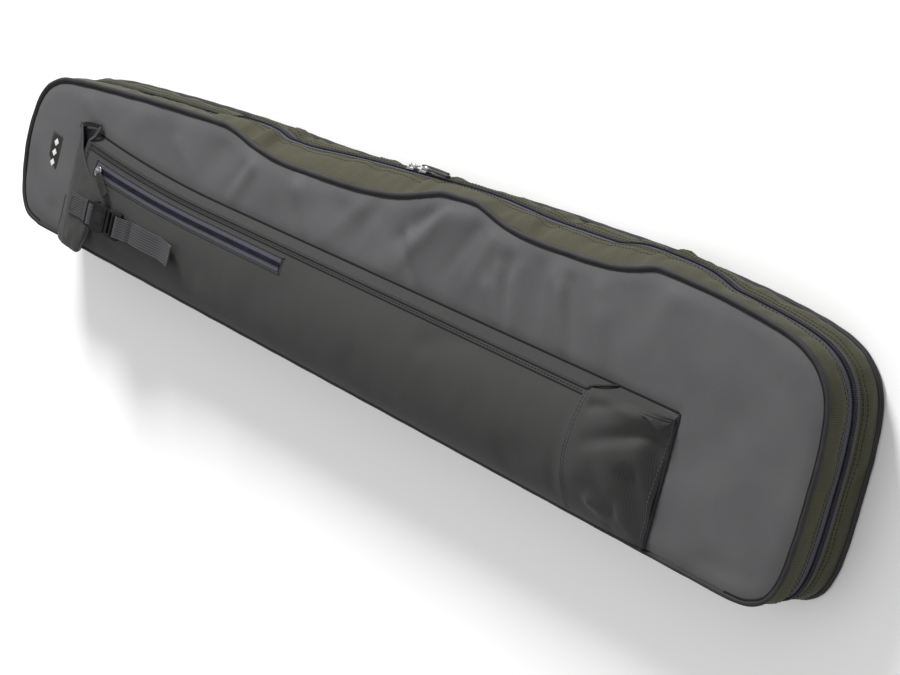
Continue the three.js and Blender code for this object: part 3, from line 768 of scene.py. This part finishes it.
def spine():
    low, high, rows = 4.6, 75.4, 14
    sections = []
    for n in range(241):
        x = lerp(48.5, 1039.5, n / 240)
        outer, inner = [], []
        for r in range(rows + 1):
            share = r / rows
            soft = math.sin(math.pi * share) * (0.5 + 0.6 * wobble(x / 60, share * 2, 0, 4))
            outer.append(P(x, 0.6 - soft, lerp(low, high, share)))
            inner.append(P(x, 3.2, lerp(low, high, share)))
        sections.append(outer + inner[::-1])
    obj = loft("spine_cloth", sections, "spine", "back_shell", sharp=50)
    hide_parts("spine")
    for k, level in enumerate((9.5, 12.5, 67.5, 70.5)):
        path = [P(lerp(50, 1038, n / 120), 0.3, level) for n in range(121)]
        stitches(f"spine_stitches_{k}", path, SPINEWARD, "back_shell", slot="spine")


# ---------------------------------------------------------------- pocket
def pocket_crest(x):
    share = min(1, (x - POCKET_START) / (POCKET_CAP - POCKET_START))
    past = clamp((x - POCKET_CAP) / (POCKET_END - POCKET_CAP))
    return lerp(18, 33, share) * (1 - past ** 2.3) ** 0.62


def pocket_profile(x, t):
    """(y, height above the panel) of the pocket's cloth: t is 0 at the lower seam, 1 at the ridge."""
    crest = pocket_crest(x)
    ridge = pocket_seam(x) - 5
    lift = crest * math.sin(2.48 * min(1, t) ** 0.8)
    if t <= 1:
        return lerp(3, ridge, t), lift
    down = clamp((t - 1) / 0.2)
    return ridge + 5 * down, lift * (1 - down)


# Folds of the pocket, most of them at its end: start, end, half width, height.
CAP_FOLDS = [
    ((936, 114), (876, 82), 8, -10), ((932, 124), (892, 118), 6, 5), ((920, 66), (941, 24), 7, -8.5),
    ((930, 18), (894, 78), 9, 5), ((936, 100), (943, 62), 8, -8), ((890, 30), (925, 8), 8, 4.5),
    ((866, 112), (905, 127), 5, -3.6), ((872, 50), (884, 88), 14, 2.6), ((905, 10), (914, 40), 6, -5),
    ((872, 122), (922, 116), 4, 2.4), ((650, 90), (700, 112), 12, -2.2), ((420, 60), (500, 95), 20, -1.8),
    ((560, 40), (640, 20), 16, -2), ((780, 30), (835, 60), 18, -2.2), ((715, 120), (800, 122), 7, 1.6),
    ((320, 40), (270, 80), 16, -2), ((840, 20), (846, 110), 6, -1.8), ((180, 20), (240, 12), 12, -1.6),
]


def pocket_soft(x, t):
    """The pocket's creases and dents, in mm."""
    free = math.sin(math.pi * clamp(t)) ** 0.7
    slow = 0.9 * wobble(x / 38, t * 2.2, 0, 9) + 0.5 * wobble(x / 15, t * 4, 2, 9)
    deep = creases(CAP_FOLDS, x, lerp(3, pocket_seam(x) - 5, clamp(t)))
    return free * slow + deep * clamp(5 * t) * clamp(8 * (1.02 - t))


def pocket_point(x, t, offset=0.0):
    step = 0.006
    (ay, az), (by, bz) = pocket_profile(x, max(0, t - step)), pocket_profile(x, t + step)
    length = max(1e-6, math.hypot(by - ay, bz - az))
    ny, nz = -(bz - az) / length, (by - ay) / length
    y, z = pocket_profile(x, t)
    move = offset + (pocket_soft(x, t) if t <= 1.001 else 0.0)
    return P(x, y + ny * move, POCKET_BASE + max(0.0, z + nz * move))


def pocket_out(x, t):
    a, b = pocket_point(x, t - 0.01), pocket_point(x, t + 0.01)
    along = pocket_point(x + 2, t) - pocket_point(x - 2, t)
    normal = along.cross(b - a).normalized()
    return normal if normal.z > 0 or abs(normal.z) < 0.2 else -normal


def pocket_strip(name, xs, ts, low, high, material):
    """A sheet on the pocket between two offsets from its cloth. high may be a function of t."""
    sections = []
    for x in xs:
        outside = [pocket_point(x, t, high(t) if callable(high) else high) for t in ts]
        inside = [pocket_point(x, t, low) for t in ts]
        sections.append(outside + inside[::-1])
    return loft(name, sections, material, "lid", sharp=50)


def spread(a, b, steps):
    return [lerp(a, b, k / steps) for k in range(steps + 1)]


def cloth_steps():
    """Steps along the pocket, closer together on its creased end."""
    return spread(POCKET_START, 850, 130)[:-1] + spread(850, POCKET_END - 1.5, 48)


def pocket():
    body = pocket_strip("pocket_body", cloth_steps(), spread(0, 1, 40), 0.2, CLOTH, "pocket")
    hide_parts("pocket_face", "pocket_end_cap")
    side = pocket_strip("pocket_side", spread(POCKET_START, POCKET_END - 2, 110), spread(1.0, 1.19, 5), -0.8,
                        lambda t: 1.0 - 0.9 * math.sin(math.pi * (t - 1) / 0.19), "pocket")
    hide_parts("pocket_gusset")

    def seam_line(t, lift, before=4, after=4):
        xs = spread(POCKET_START + before, POCKET_CAP - after, 150)
        return [pocket_point(x, t, CLOTH + lift) for x in xs]

    def foot_line(start, end, shift, z):
        return [P(x, pocket_seam(x) + shift, z) for x in spread(POCKET_START + start, POCKET_END - end, 150)]

    ridge = seam_line(0.985, 0.5, 2, 2)
    ridge += [pocket_point(lerp(POCKET_CAP, POCKET_CAP + 17, s), lerp(0.99, 1.18, s ** 1.3), 2.3)
              for s in spread(0, 1, 10)]
    tube("pocket_ridge_binding", ridge, 1.35, 7, "binding", "lid")
    # Near-black painted shade: one thin tube in the crease where the pocket's top meets the panel, one in the
    # groove beside its ridge.
    tube("pocket_top_seam_shade", foot_line(-2, 2, 1.6, 80.9), 1.2, 6, "seam", "lid")
    tube("pocket_ridge_groove_shade", seam_line(0.935, 0.1, 4, 3), 0.75, 6, "seam", "lid")
    row = foot_line(2, 4, -0.6, 82.4)
    stitches("pocket_top_stitches", row, Vector((0, -0.4, 0.9)), "lid", pitch=4.4, length=3.2)
    lower = [pocket_point(x, 0.0, 1.5) + UP * 0.0006 for x in spread(POCKET_START, POCKET_END - 2, 150)]
    tube("pocket_bottom_binding", lower, 1.2, 7, "binding", "lid")
    end = [P(POCKET_END - 0.5 + 0.8 * math.sin(t * 3), lerp(4, pocket_seam(POCKET_END) + 1, t),
             81.0 + 1.4 * math.sin(math.pi * t) ** 0.5) for t in spread(0, 1, 30)]
    tube("pocket_end_binding", end, 1.4, 7, "spine", "lid")
    for k, t in enumerate((0.955, 0.975)):
        row = seam_line(t, 0.1)
        stitches(f"pocket_ridge_stitches_{k}", row, Vector((0, -0.5, 0.86)), "lid", "dark_thread")
    ts = spread(0.03, 0.97, 40)
    for k, x in enumerate((POCKET_CAP - 1, POCKET_CAP + 2)):
        path = [pocket_point(x, t, CLOTH + 0.1) for t in ts]
        stitches(f"pocket_cap_stitches_{k}", path, lambda i: pocket_out(x, ts[i]), "lid")
    path = [pocket_point(POCKET_END - 4, t, CLOTH + 0.1) for t in spread(0.05, 0.95, 40)]
    stitches("pocket_end_stitches", path, Vector((-0.5, 0, 0.86)), "lid")
    tack = [P(x, pocket_seam(940) - 2.2, 82.5) for x in spread(932, 942, 6)]
    stitches("pocket_bar_tack", tack, UP, "lid", pitch=0.9, length=3.2, radius=0.4)
    mouth()
    pocket_zip()
    dart()


def dart():
    """The small pleat folded over at the pocket's end corner."""
    sections, row = [], []
    lift = UP * 0.0011
    for share in spread(0, 1, 12):
        x = lerp(917, 942, share)
        root = pocket_point(x, 0.97, CLOTH + 0.3)
        reach = 0.001 + 0.0085 * math.sin(math.pi * min(1, 1.25 * (1 - share))) ** 1.2
        tip = root + direction(0.35, -1, 0) * reach + UP * (0.0012 - 0.25 * reach)
        sections.append([root, tip, tip + lift * 0.8, root.lerp(tip, 0.5) + lift * 2.4, root + lift])
        row.append(pocket_point(x, 0.985, CLOTH + 1.4))
    loft("pocket_end_dart", sections, "pocket", "lid", sharp=60)
    stitches("pocket_dart_stitches", row, UP, "lid", pitch=2.6, length=2.0, radius=0.4)


def mouth_hem():
    """The hem that holds the mouth open at its zip-side corner, with its dark inside."""
    top = [(93.5, 123.5, 86), (97, 126, 90), (104, 129, 90), (112, 130.5, 87), (119, 130, 84)]
    side = [(119, 131, 84.5), (120, 126, 88), (119.5, 120, 91), (118.5, 116, 95)]
    for name, points, steps, across, up, width in (
            ("band", top, 5, direction(0.1, 0.94, 0.35), direction(0, -0.35, 0.94), 5.5),
            ("side", side, 4, direction(1, 0, 0.2), direction(0, 0.6, 0.8), 5)):
        path = [P(*p) for p in catmull(points, steps)]
        web(f"mouth_hem_{name}", path, across, up, width, 1.6, "lid", "binding")
    inner = []
    thick = UP * 0.0008
    for share in spread(0, 1, 8):
        x = lerp(95, 118, share)
        low = P(x, lerp(100, 112, share), 82.5)
        high = P(x, lerp(122, 127, share), lerp(87, 85, share))
        inner.append([low, high, high + thick, low + thick])
    loft("mouth_lining", inner, "lining", "lid")


def mouth():
    """The bound edge of the pocket's open end."""
    sections = []
    for t in spread(0.0, 1.0, 40):
        centre = pocket_point(POCKET_START - 0.4, t, 0.9)
        out = (pocket_point(POCKET_START + 3, t, 3) - pocket_point(POCKET_START + 3, t, 0)).normalized()
        h = 0.0016 + 0.0002 * math.sin(t * 40)
        ring = [(-0.0032, -h), (0.0042, -h), (0.0046, 0), (0.0042, h), (-0.0032, h), (-0.0038, 0)]
        sections.append([centre + BUTTWARD * a + out * b for a, b in ring])
    obj = loft("pocket_mouth_edge", sections, "binding", "lid")
    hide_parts("pocket_mouth_binding")
    path = [pocket_point(POCKET_START + 2.2, t, CLOTH + 0.8) for t in spread(0.02, 0.98, 40)]
    stitches("pocket_mouth_stitches", path, UP, "lid", "dark_thread", "binding")


def pocket_zip():
    xs = spread(141, 438, 90)
    half = 0.068
    tape = pocket_strip("pocket_zip_cloth", xs, spread(ZIP_T - half, ZIP_T + half, 8), CLOTH + 0.2,
                        CLOTH + 0.75, "zip_tape")
    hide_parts("pocket_zip_tape")
    path = [pocket_point(x, ZIP_T, CLOTH + 1.5) for x in xs]
    frames = []
    for p, along, i in walk(path, 1.7):
        out = pocket_out(xs[i], ZIP_T)
        side = out.cross(along).normalized()
        frames.append((p, side, along, out))
    coil = stamp("pocket_zip_teeth", *capsule(5.0, 0.68, 1.1), frames, "coil", "lid")
    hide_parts("pocket_zip_coil")
    for k, t in enumerate((ZIP_T - half * 0.9, ZIP_T + half * 0.9)):
        edge = [pocket_point(x, t, CLOTH + 0.9) for x in xs]
        stitches(f"pocket_zip_stitches_{k}", edge, pocket_out(290, t), "lid", "dark_thread", "zip_tape",
                 3.0, 2.3)
        lip = [pocket_point(x, t + (0.012 if k else -0.012), CLOTH + 0.3) for x in spread(138, 441, 80)]
        tube(f"pocket_zip_lip_{k}", lip, 0.9, 6, "pocket", "lid")
    for k, x in enumerate((139.5, 440)):
        stop = [pocket_point(x, t, CLOTH + 1.2) for t in spread(ZIP_T - 0.06, ZIP_T + 0.06, 8)]
        stitches(f"pocket_zip_tack_{k}", stop, UP, "lid", "dark_thread", "zip_tape", 1.0, 3.4, 0.45)


# ---------------------------------------------------------------- sliders and pullers
def joint(name):
    return next(j for j in frame["joints"] if j["name"] == name)


def zip_across(x):
    """The zip line's y at a place along the case."""
    for (ax, ay), (bx, by) in zip(EDGE, EDGE[1:]):
        if ay > 100 and ax >= x > bx:
            return lerp(ay, by, (ax - x) / (ax - bx)) + swell(LOBES, x)
    return 200.0


def basis(origin, along, out):
    """A matrix whose x is the way a slider slides and y the way out of its zip, in mm units."""
    side = along.cross(out).normalized()
    return Matrix.Translation(origin) @ Matrix((
        (along.x, out.x, side.x), (along.y, out.y, side.y), (along.z, out.z, side.z))).to_4x4()


def slider(name, place, body, node):
    """A die-cast slider: two plates joined by a post, with an arched bridge for the puller."""
    turn = Matrix.Rotation(math.radians(-90), 4, "X")
    edge = [(-5.2, -2.6), (-3.4, -4.4), (1.5, -4.3), (4.6, -3.0), (5.2, -1.2)]
    wing = edge + [(x, -y) for x, y in edge[::-1]] + [(-4.6, 0)]
    top = plate(name + "_top", [wing], 1.9, 3.2, 0.35, "slider", body, place=place @ turn)
    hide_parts(node)
    for k, side in enumerate((-1, 1)):
        rail = [(-4.4, side * 4.3), (4.0, side * 3.6), (4.0, side * 3.0), (-4.4, side * 3.6)]
        plate(f"{name}_rail_{k}", [rail], 0.7, 2.2, 0.15, "slider", body, place=place @ turn)
    arch = [(lerp(-4.2, 4.2, s), 3.0 + 3.7 * math.sin(math.pi * s) ** 0.42) for s in spread(0, 1, 16)]
    sections = []
    for k, (x, y) in enumerate(arch):
        ahead, before = arch[min(16, k + 1)], arch[max(0, k - 1)]
        nx, ny = -(ahead[1] - before[1]), ahead[0] - before[0]
        length = math.hypot(nx, ny)
        nx, ny = nx / length * 0.48, ny / length * 0.48
        ring = [(x - nx, y - ny, -1.0), (x - nx, y - ny, 1.0), (x, y, 1.35), (x + nx, y + ny, 1.0),
                (x + nx, y + ny, -1.0), (x, y, -1.35)]
        sections.append([place @ Vector((a / 1000, b / 1000, c / 1000)) for a, b, c in ring])
    loft(name + "_bridge", sections, "slider", body)


def oval(count, wide_power, high_power):
    """Points of a rounded rectangle between -1 and 1. Smaller powers make it squarer."""
    points = []
    for k in range(count):
        turn = 2 * math.pi * k / count
        c, s = math.cos(turn), math.sin(turn)
        points.append((math.copysign(abs(c) ** wide_power, c), math.copysign(abs(s) ** high_power, s)))
    return points


def puller(name, place, body, half, ring_turn, tab_turn, shift, lift, drape, scale=1.0, wide=1.0):
    """A wire ring and a ribbed rubber tab. place is the slider's frame moved up to the ring's bar."""
    def at(x, y, z, turn, aside=0.0):
        c, s = math.cos(turn), math.sin(turn)
        point = (x * c + z * s, y, -x * s + z * c + aside)
        return place @ Vector([v * scale / 1000 for v in point])

    corner, length = 1.5, 36
    far, side = 6.5 - corner, half + 0.7 - corner
    ring = []
    for cx, cz, start in ((far, side, 0), (corner, side, 90), (corner, -side, 180), (far, -side, 270)):
        for k in range(5):
            turn = math.radians(start + 90 * k / 4)
            ring.append(at(cx + corner * math.cos(turn), 0, cz + corner * math.sin(turn), ring_turn))
    up = (place.to_3x3() @ Vector((0, 1, 0))).normalized()
    obj = tube(name + "_ring", ring, 0.62 * scale, 8, "slider", body, ring=True, up=up)
    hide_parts(name)
    sections = []
    for share in spread(0, 1, 46):
        x = 4.9 + (length + 0.3) * share
        rib = 0.28 * (0.5 + 0.5 * math.cos(2 * math.pi * (x - 5) / 2.6)) if 0.16 < share < 0.86 else 0.1
        neck = 0.72 + 0.28 * smooth((share - 0.02) / 0.16)
        close = math.sqrt(max(0.05, 1 - (max(0, share - 0.93) / 0.07) ** 2))
        start = math.sqrt(max(0.1, 1 - (max(0, 0.05 - share) / 0.05) ** 2))
        w = 3.2 * wide * neck * close * start
        h = (1.05 + rib) * min(1.0, close + 0.25) * start
        y = lift - drape * share ** 1.6
        sections.append([at(x, y + b * h, a * w, tab_turn, shift) for a, b in oval(12, 0.6, 0.7)])
    loft(name + "_tab", sections, "puller", body)


def sliders():
    for name, x, pull in (("tip", 521, (3, 0.35, 0.0, -8.2, 0.9, 2.2)),
                          ("butt", 538, (3, -0.2, -0.2, 0, 0, 0.4))):
        y0, y1 = zip_across(x), zip_across(x + 60)
        along = direction(60, y1 - y0, 0)
        out = direction(-(y1 - y0), 60, 0)
        origin = P(x, y0, 40)
        slider(f"{name}_slider_body", basis(origin, along, out), f"{name}_slider", f"{name}_slider")
        puller(f"{name}_puller", basis(origin + out * 0.0048, along, out), f"{name}_puller", *pull)
    turn = joint("pocket_puller_turn")
    along = Vector(joint("pocket_slider_slide")["axis"]).normalized()
    hinge = Vector(turn["axis"]).normalized()
    out = hinge.cross(along).normalized()
    if out.z < 0:
        out = -out
    bar = Vector(turn["pos_m"])
    scale = Matrix.Scale(0.8, 4)
    slider("pocket_slider_body", basis(bar - out * 0.00384, along, out) @ scale, "pocket_slider",
           "pocket_slider")
    puller("pocket_puller", basis(bar, along, out), "pocket_puller", 4.6, -0.7, -0.7, 0, 0.9, 0.4, 0.8, 1.75)


# ---------------------------------------------------------------- webbing, flap and buckle
def web(name, centres, across, ups, width, thick, body, material="webbing"):
    """A flat strap through centres. ups is the way out of it, or a list with one for each point."""
    if isinstance(ups, Vector):
        ups = [ups] * len(centres)
    sections = [strip_section(c, across, u, width, thick) for c, u in zip(centres, ups)]
    return loft(name, sections, material, body)


def facing(centres, across):
    """The way out of a strap at each point of its run."""
    last = len(centres) - 1
    runs = [centres[min(last, k + 1)] - centres[max(0, k - 1)] for k in range(last + 1)]
    return [run.cross(across).normalized() for run in runs]


def box_cross(name, corners, up, body):
    """Stitches round a four-sided tab and across its diagonals."""
    a, b, c, d = corners
    for k, (p, q) in enumerate(((a, b), (b, c), (c, d), (d, a), (a, c), (b, d))):
        stitches(f"{name}_{k}", [p.lerp(q, s) for s in spread(0, 1, 8)], up, body, "thread", "webbing",
                 2.8, 2.1, 0.32)


# The flap's cut: x, its two edges in y, and its height.
CUT = [(92, 4, 123, 81.2), (94.5, 3.5, 125, 86.5), (99, 3, 122, 92), (106, 2.6, 115, 97.2),
       (114, 2, 103, 100.6), (126, 1.5, 90, 102), (140, 1.5, 76, 102), (146, 12, 70, 102),
       (150.5, 28, 63, 102)]


def flap():
    curve = catmull(CUT, 5)
    sections, rim_low, rim_high = [], [], []
    for n, (x, y0, y1, z) in enumerate(curve):
        outer, inner = [], []
        for k in range(25):
            share = k / 24
            y = lerp(y0, y1, share)
            edge = abs(share - 0.5) * 2
            droop = -3.4 * edge ** 4 * smooth((n - 6) / 12)
            ruck = (1.6 * wobble(x / 16, y / 20, 0, 12) + 0.8 * wobble(x / 7, y / 9, 4, 12)) * smooth(n / 8)
            outer.append(P(x, y, z + 1.5 + droop + ruck))
            inner.append(P(x, y, z + 0.2 + droop + ruck))
        sections.append(outer + inner[::-1])
        rim_level = z + 0.8 - 3.4 * smooth((n - 6) / 12)
        rim_low.append(P(x, y0, rim_level))
        rim_high.append(P(x, y1, rim_level))
    cloth = loft("flap_cloth", sections, "pocket", sharp=60)
    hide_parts("flap")
    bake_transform(cloth)
    last = sections[-1]
    rim = rim_low + [last[k].lerp(last[49 - k], 0.5) for k in range(1, 24, 3)] + rim_high[::-1]
    edge = tube("flap_rim", rim, 1.3, 7, "webbing")
    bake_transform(edge)
    root = [P(91.2, y, 81.6) + Vector((0.0035, 0, 0)) for y in spread(2, 124, 60)]
    stitches("flap_root_stitches", root, UP, "lid")
    hem = [P(87, 1.5, 81.0).lerp(P(87, 125, 81.0), s) for s in spread(0, 1, 40)]
    web("flap_hem", hem, BUTTWARD, UP, 9, 1.4, "lid", "pocket")
    run = [(119, 104.4), (130, 104.6), (142, 104.6), (150.5, 104.8), (158.5, 106.2)]
    centres = [P(x, BUCKLE_Y, z) for x, z in catmull(run, 6)]
    tab = web("flap_webbing", centres, ZIPWARD, UP, WEBBING, 1.5, "flap")
    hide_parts("flap_tab")
    corners = [P(x, y, 105.4) for x, y in ((121.5, 40), (121.5, 57), (140, 57), (140, 40))]
    box_cross("flap_tab_stitches", corners, UP, "flap")
    run = [(158.5, 106.2), (161, 107.4), (161.6, 108.9), (160, 110.2), (157, 110.2), (150, 107.4),
           (145, 106.4)]
    centres = [P(x, BUCKLE_Y, z) for x, z in catmull(run, 6)]
    web("flap_webbing_loop", centres, ZIPWARD, facing(centres, ZIPWARD), WEBBING, 1.3, "flap")


def buckle():
    y = BUCKLE_Y
    socket_end = 182.5

    def part(name, loops, low, high, bevel, body):
        level = 102.4
        return plate(name, loops, level + low, level + high, bevel, "buckle", body, place=FROM_PLAN)

    def even(half):
        """An outline that is alike on both sides of the buckle's middle line."""
        return [(x, y - w) for x, w in half] + [(x, y + w) for x, w in half[::-1]]

    def bar(x0, x1, w, r):
        return rounded(x0, y - w, x1, y + w, r)

    shell = even([(163, 15), (176, 15), (socket_end, 12.6)])
    shell += [(157, y + 13.5), (152, y + 13.6), (151, y + 12)]
    shell += [(151, y - 12), (152, y - 13.6), (157, y - 13.5)]
    socket = part("buckle_socket_shell", [soften(shell), bar(153.4, 158.6, 11.4, 1.4)], 5.2, 7.7, 0.7, "flap")
    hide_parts("buckle_socket")
    part("buckle_socket_rib", [bar(167, 180.5, 5.5, 2)], 7.3, 8.3, 0.4, "flap")
    for k, side in enumerate((-1, 1)):
        wall = [(160, 14.8), (164.5, 14.9), (164.5, 12.8), (160, 12.8)]
        far = [(176, 14.7), (182, 12.6), (182, 11.4), (176, 12.2)]
        part(f"buckle_socket_wall_{k}", [[(x, y + side * w) for x, w in wall]], 0.4, 6.4, 0.4, "flap")
        part(f"buckle_socket_end_{k}", [[(x, y + side * w) for x, w in far]], 0.4, 6.4, 0.3, "flap")
    base = socket_end
    outline = even([(base, 12), (base + 3, 14.6), (base + 19, 15), (base + 22, 13.4)])
    holes = [bar(base + 4, base + 8.6, 11.4, 1.2), bar(base + 12.4, base + 17.6, 11.4, 1.2)]
    plug = part("buckle_plug_frame", [soften(outline)] + holes, 1.4, 6.2, 0.8, "plug")
    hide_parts("buckle_plug")
    part("buckle_plug_tongue", [bar(base - 21.5, base + 1.5, 2.4, 1.6)], 1.6, 4.6, 0.5, "plug")
    for k, at in enumerate((base + 9.2, base + 18.8)):
        part(f"buckle_ladder_{k}", [bar(at, at + 2.4, 11.6, 1.1)], 5.4, 7.4, 0.6, "plug")
    arm = [(0.4, 8), (-12, 8.2), (-17, 6.4), (-20.8, 6.6), (-20.2, 9), (-15, 13.6), (-9, 13.9), (-8, 11.6),
           (0.4, 11)]
    for name, side in (("upper", 1), ("lower", -1)):
        loop = [(base + dx, y + side * w) for dx, w in arm]
        prong = part(f"buckle_prong_{name}_arm", [soften(loop)], 1.4, 4.9, 0.6, f"prong_{name}")
        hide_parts(f"buckle_prong_{name}")


def soften(points, steps=4):
    """Rounds an outline's corners."""
    found = []
    count = len(points)
    for i in range(count):
        a, b, c = points[i - 1], points[i], points[(i + 1) % count]
        reach = min(1.2, 0.4 * math.dist(a, b), 0.4 * math.dist(b, c))
        p = tuple(lerp(b[k], a[k], reach / max(1e-6, math.dist(a, b))) for k in (0, 1))
        q = tuple(lerp(b[k], c[k], reach / max(1e-6, math.dist(b, c))) for k in (0, 1))
        for s in range(steps + 1):
            t = s / steps
            found.append(tuple((1 - t) ** 2 * p[k] + 2 * t * (1 - t) * b[k] + t * t * q[k] for k in (0, 1)))
    return found


def strap():
    t_mid = (BUCKLE_Y - 3) / (pocket_seam(230) - 8)

    def lie(x, off):
        """A point on the strap's middle line, this far off the pocket."""
        p = pocket_point(x, t_mid, off)
        return Vector((p.x, P(0, BUCKLE_Y, 0).y, p.z))

    def free(x, off):
        """The tail's free end lifts a little."""
        return lie(x, off + 7 * max(0, (x - 262) / 30) ** 2)

    low = [lie(x, CLOTH + 1.0) for x in spread(222, 268, 18)]
    sewn = web("strap_sewn_end", low, ZIPWARD, UP, WEBBING, 1.4, "lid")
    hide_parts("strap_base")
    corners = [lie(x, CLOTH + 2.0) + Vector((0, dy / 1000, 0))
               for x, dy in ((246, -9), (246, 9), (265, 9), (265, -9))]
    box_cross("strap_sewn_stitches", corners, UP, "lid")
    run = [(193.5, 104.9), (196.5, 107.6), (199.5, 109.6), (203, 109.2), (207, 107.6), (214, 106.2)]
    centres = [P(x, BUCKLE_Y, z) for x, z in catmull(run, 6)]
    centres += [free(x, CLOTH + 3.0) + Vector((0, 0, 0.0008 * math.sin(x / 9))) for x in spread(218, 292, 30)]
    ups = [u if u.z > 0 else -u for u in facing(centres, ZIPWARD)]
    obj = web("strap_free_tail", centres, ZIPWARD, ups, WEBBING, 1.4, "plug")
    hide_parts("strap_tail")
    hem = [free(x, CLOTH + 4.2) for x in spread(282, 291.5, 8)]
    web("strap_hem", hem, ZIPWARD, UP, 21.6, 1.2, "plug")
    for k, dy in enumerate((-8, 8)):
        row = [p + Vector((0, dy / 1000, 0.0008)) for p in hem]
        stitches(f"strap_hem_stitches_{k}", row, UP, "plug", "thread", "webbing", 2.2, 1.7, 0.3)


def patch():
    outline = [(42, 60), (62, 59), (63, 102), (43, 103)]
    rim = plate("patch_rim", [soften(outline)], 80.2, 81.4, 0.35, "gusset", "lid", FROM_PLAN)
    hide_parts("patch")
    inner = [(44, 62), (60.2, 61.2), (61, 100), (45, 100.8)]
    plate("patch_face", [soften(inner)], 81.0, 82.0, 0.35, "patch", "lid", place=FROM_PLAN)
    for k, y in enumerate((70, 81, 92)):
        diamond = [(52.5, y - 4.2), (56, y), (52.5, y + 4.2), (49, y)]
        plate(f"patch_diamond_{k}", [diamond], 81.6, 82.6, 0.25, "pale", "lid", FROM_PLAN)
    corners = [P(x, y, 81.5) for x, y in ((43, 61), (61.2, 60), (62, 101), (44, 102))]
    for k, (p, q) in enumerate(zip(corners, corners[1:] + corners[:1])):
        stitches(f"patch_stitches_{k}", [p.lerp(q, s) for s in spread(0, 1, 8)], UP, "lid", "olive_thread",
                 "patch", 2.4, 1.8, 0.28)


# ---------------------------------------------------------------- handle and inside
def handle():
    middle, half = 700, 75
    for k, (end, start) in enumerate((("tip", middle - half), ("butt", middle + half - WIDE_WEBBING))):
        centre = start + WIDE_WEBBING / 2
        name = f"handle_anchor_{end}"
        centres = [P(centre, -1.4 - 0.5 * smooth((40 - z) / 6), z) for z in spread(33.6, 58, 16)]
        obj = web(name + "_webbing", centres, BUTTWARD, SPINEWARD, WIDE_WEBBING, 1.7, "back_shell")
        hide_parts(name)
        corners = [P(start + dx, -2.5, z) for dx, z in ((3, 39), (22, 39), (22, 56), (3, 56))]
        box_cross(name + "_stitches", corners, SPINEWARD, "back_shell")
        leg = [P(centre, -2.6 - 0.4 * math.sin(z / 5), z) for z in spread(8.5, 35.4, 18)]
        leg_obj = web(f"handle_leg_{end}", leg, BUTTWARD, SPINEWARD, WIDE_WEBBING, 1.7, "handle")
        if k == 0:
            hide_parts("handle_strap")
    bar = [P(x, -3.2, 11.6) for x in spread(middle - half, middle + half, 40)]
    web("handle_bar", bar, UP, SPINEWARD, 9, 1.8, "handle")
    sections = []
    for n, x in enumerate(spread(middle - 44, middle + 44, 60)):
        close = math.sqrt(max(0.1, 1 - (abs(n - 30) / 30) ** 8))
        ridge = 0.25 * (1 + math.cos(n * 1.25)) / 2
        sections.append([P(x, -3.0 + (1.9 + ridge) * close * a, 11.5 + (5.9 + ridge) * close * b)
                         for a, b in oval(14, 0.8, 0.8)])
    grip = loft("handle_grip_sleeve", sections, "grip", "handle")
    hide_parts("handle_grip")


def inside():
    level = 38

    def ripple(x):
        return 0.3 * math.sin(x / 24)

    pad = panel("divider_leaf", -1.0, 13.5,
                lambda x, y, d: level + 1.0 + 1.5 * smooth(d / 8) + ripple(x) * smooth(d / 20),
                lambda x, y, d: level - 1.0 - 1.5 * smooth(d / 8) + ripple(x) * smooth(d / 20),
                "lining", "divider", 9)
    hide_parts("divider_pad")
    for k, y in enumerate((50, 90, 130)):
        row = [P(x, y, level + 2.9 + ripple(x)) for x in spread(60 + k * 20, 1020, 120)]
        stitches(f"divider_quilting_{k}", row, UP, "divider", "thread", "lining", 6, 4.4, 0.5)
    ring = [P(x, y, level) for x, y in loop_of(-1.0, 13.6)]
    binding = tube("divider_rim", ring, 1.7, 8, "binding", "divider", ring=True)
    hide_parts("divider_binding")
    centres = [P(x, 7.8, level) for x in spread(68, 1020, 120)]
    hinge = web("divider_hinge_tape", centres, ZIPWARD, UP, 8.0, 1.1, "divider", "binding")
    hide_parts("divider_tape")
    for name, x, y0, y1 in (("tip", 150, 30, 130), ("middle", 520, 30, 165), ("butt", 900, 30, 195)):
        points = [P(x, y, 10.9 + 0.25 * math.sin(y / 8)) for y in spread(y0, y1, 30)]
        obj = web(f"rod_strap_{name}_webbing", points, BUTTWARD, UP, WIDE_WEBBING, 1.5, "back_shell")
        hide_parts(f"rod_strap_{name}")
        corners = [P(x + dx, y0 + dy, 11.9) for dx, dy in ((-9, 3), (9, 3), (9, 20), (-9, 20))]
        box_cross(f"rod_strap_{name}_stitches", corners, UP, "back_shell")


studio()
panels()
piping("front_piping_cord", 1.0, 77.5, "lid", "front_piping", 1)
piping("back_piping_cord", -1.0, 2.9, "back_shell", "back_piping", 5)
gusset("front_gusset_cloth", 48.0, 76.0, (0.0, 1.0), "lid", "front_gusset", 2, False)
gusset("back_gusset_cloth", 4.6, 32.0, (-1.0, 0.0), "back_shell", "back_gusset", 3, True)
main_zip()
spine()
pocket()
sliders()
mouth_hem()
flap()
buckle()
strap()
patch()
handle()
inside()
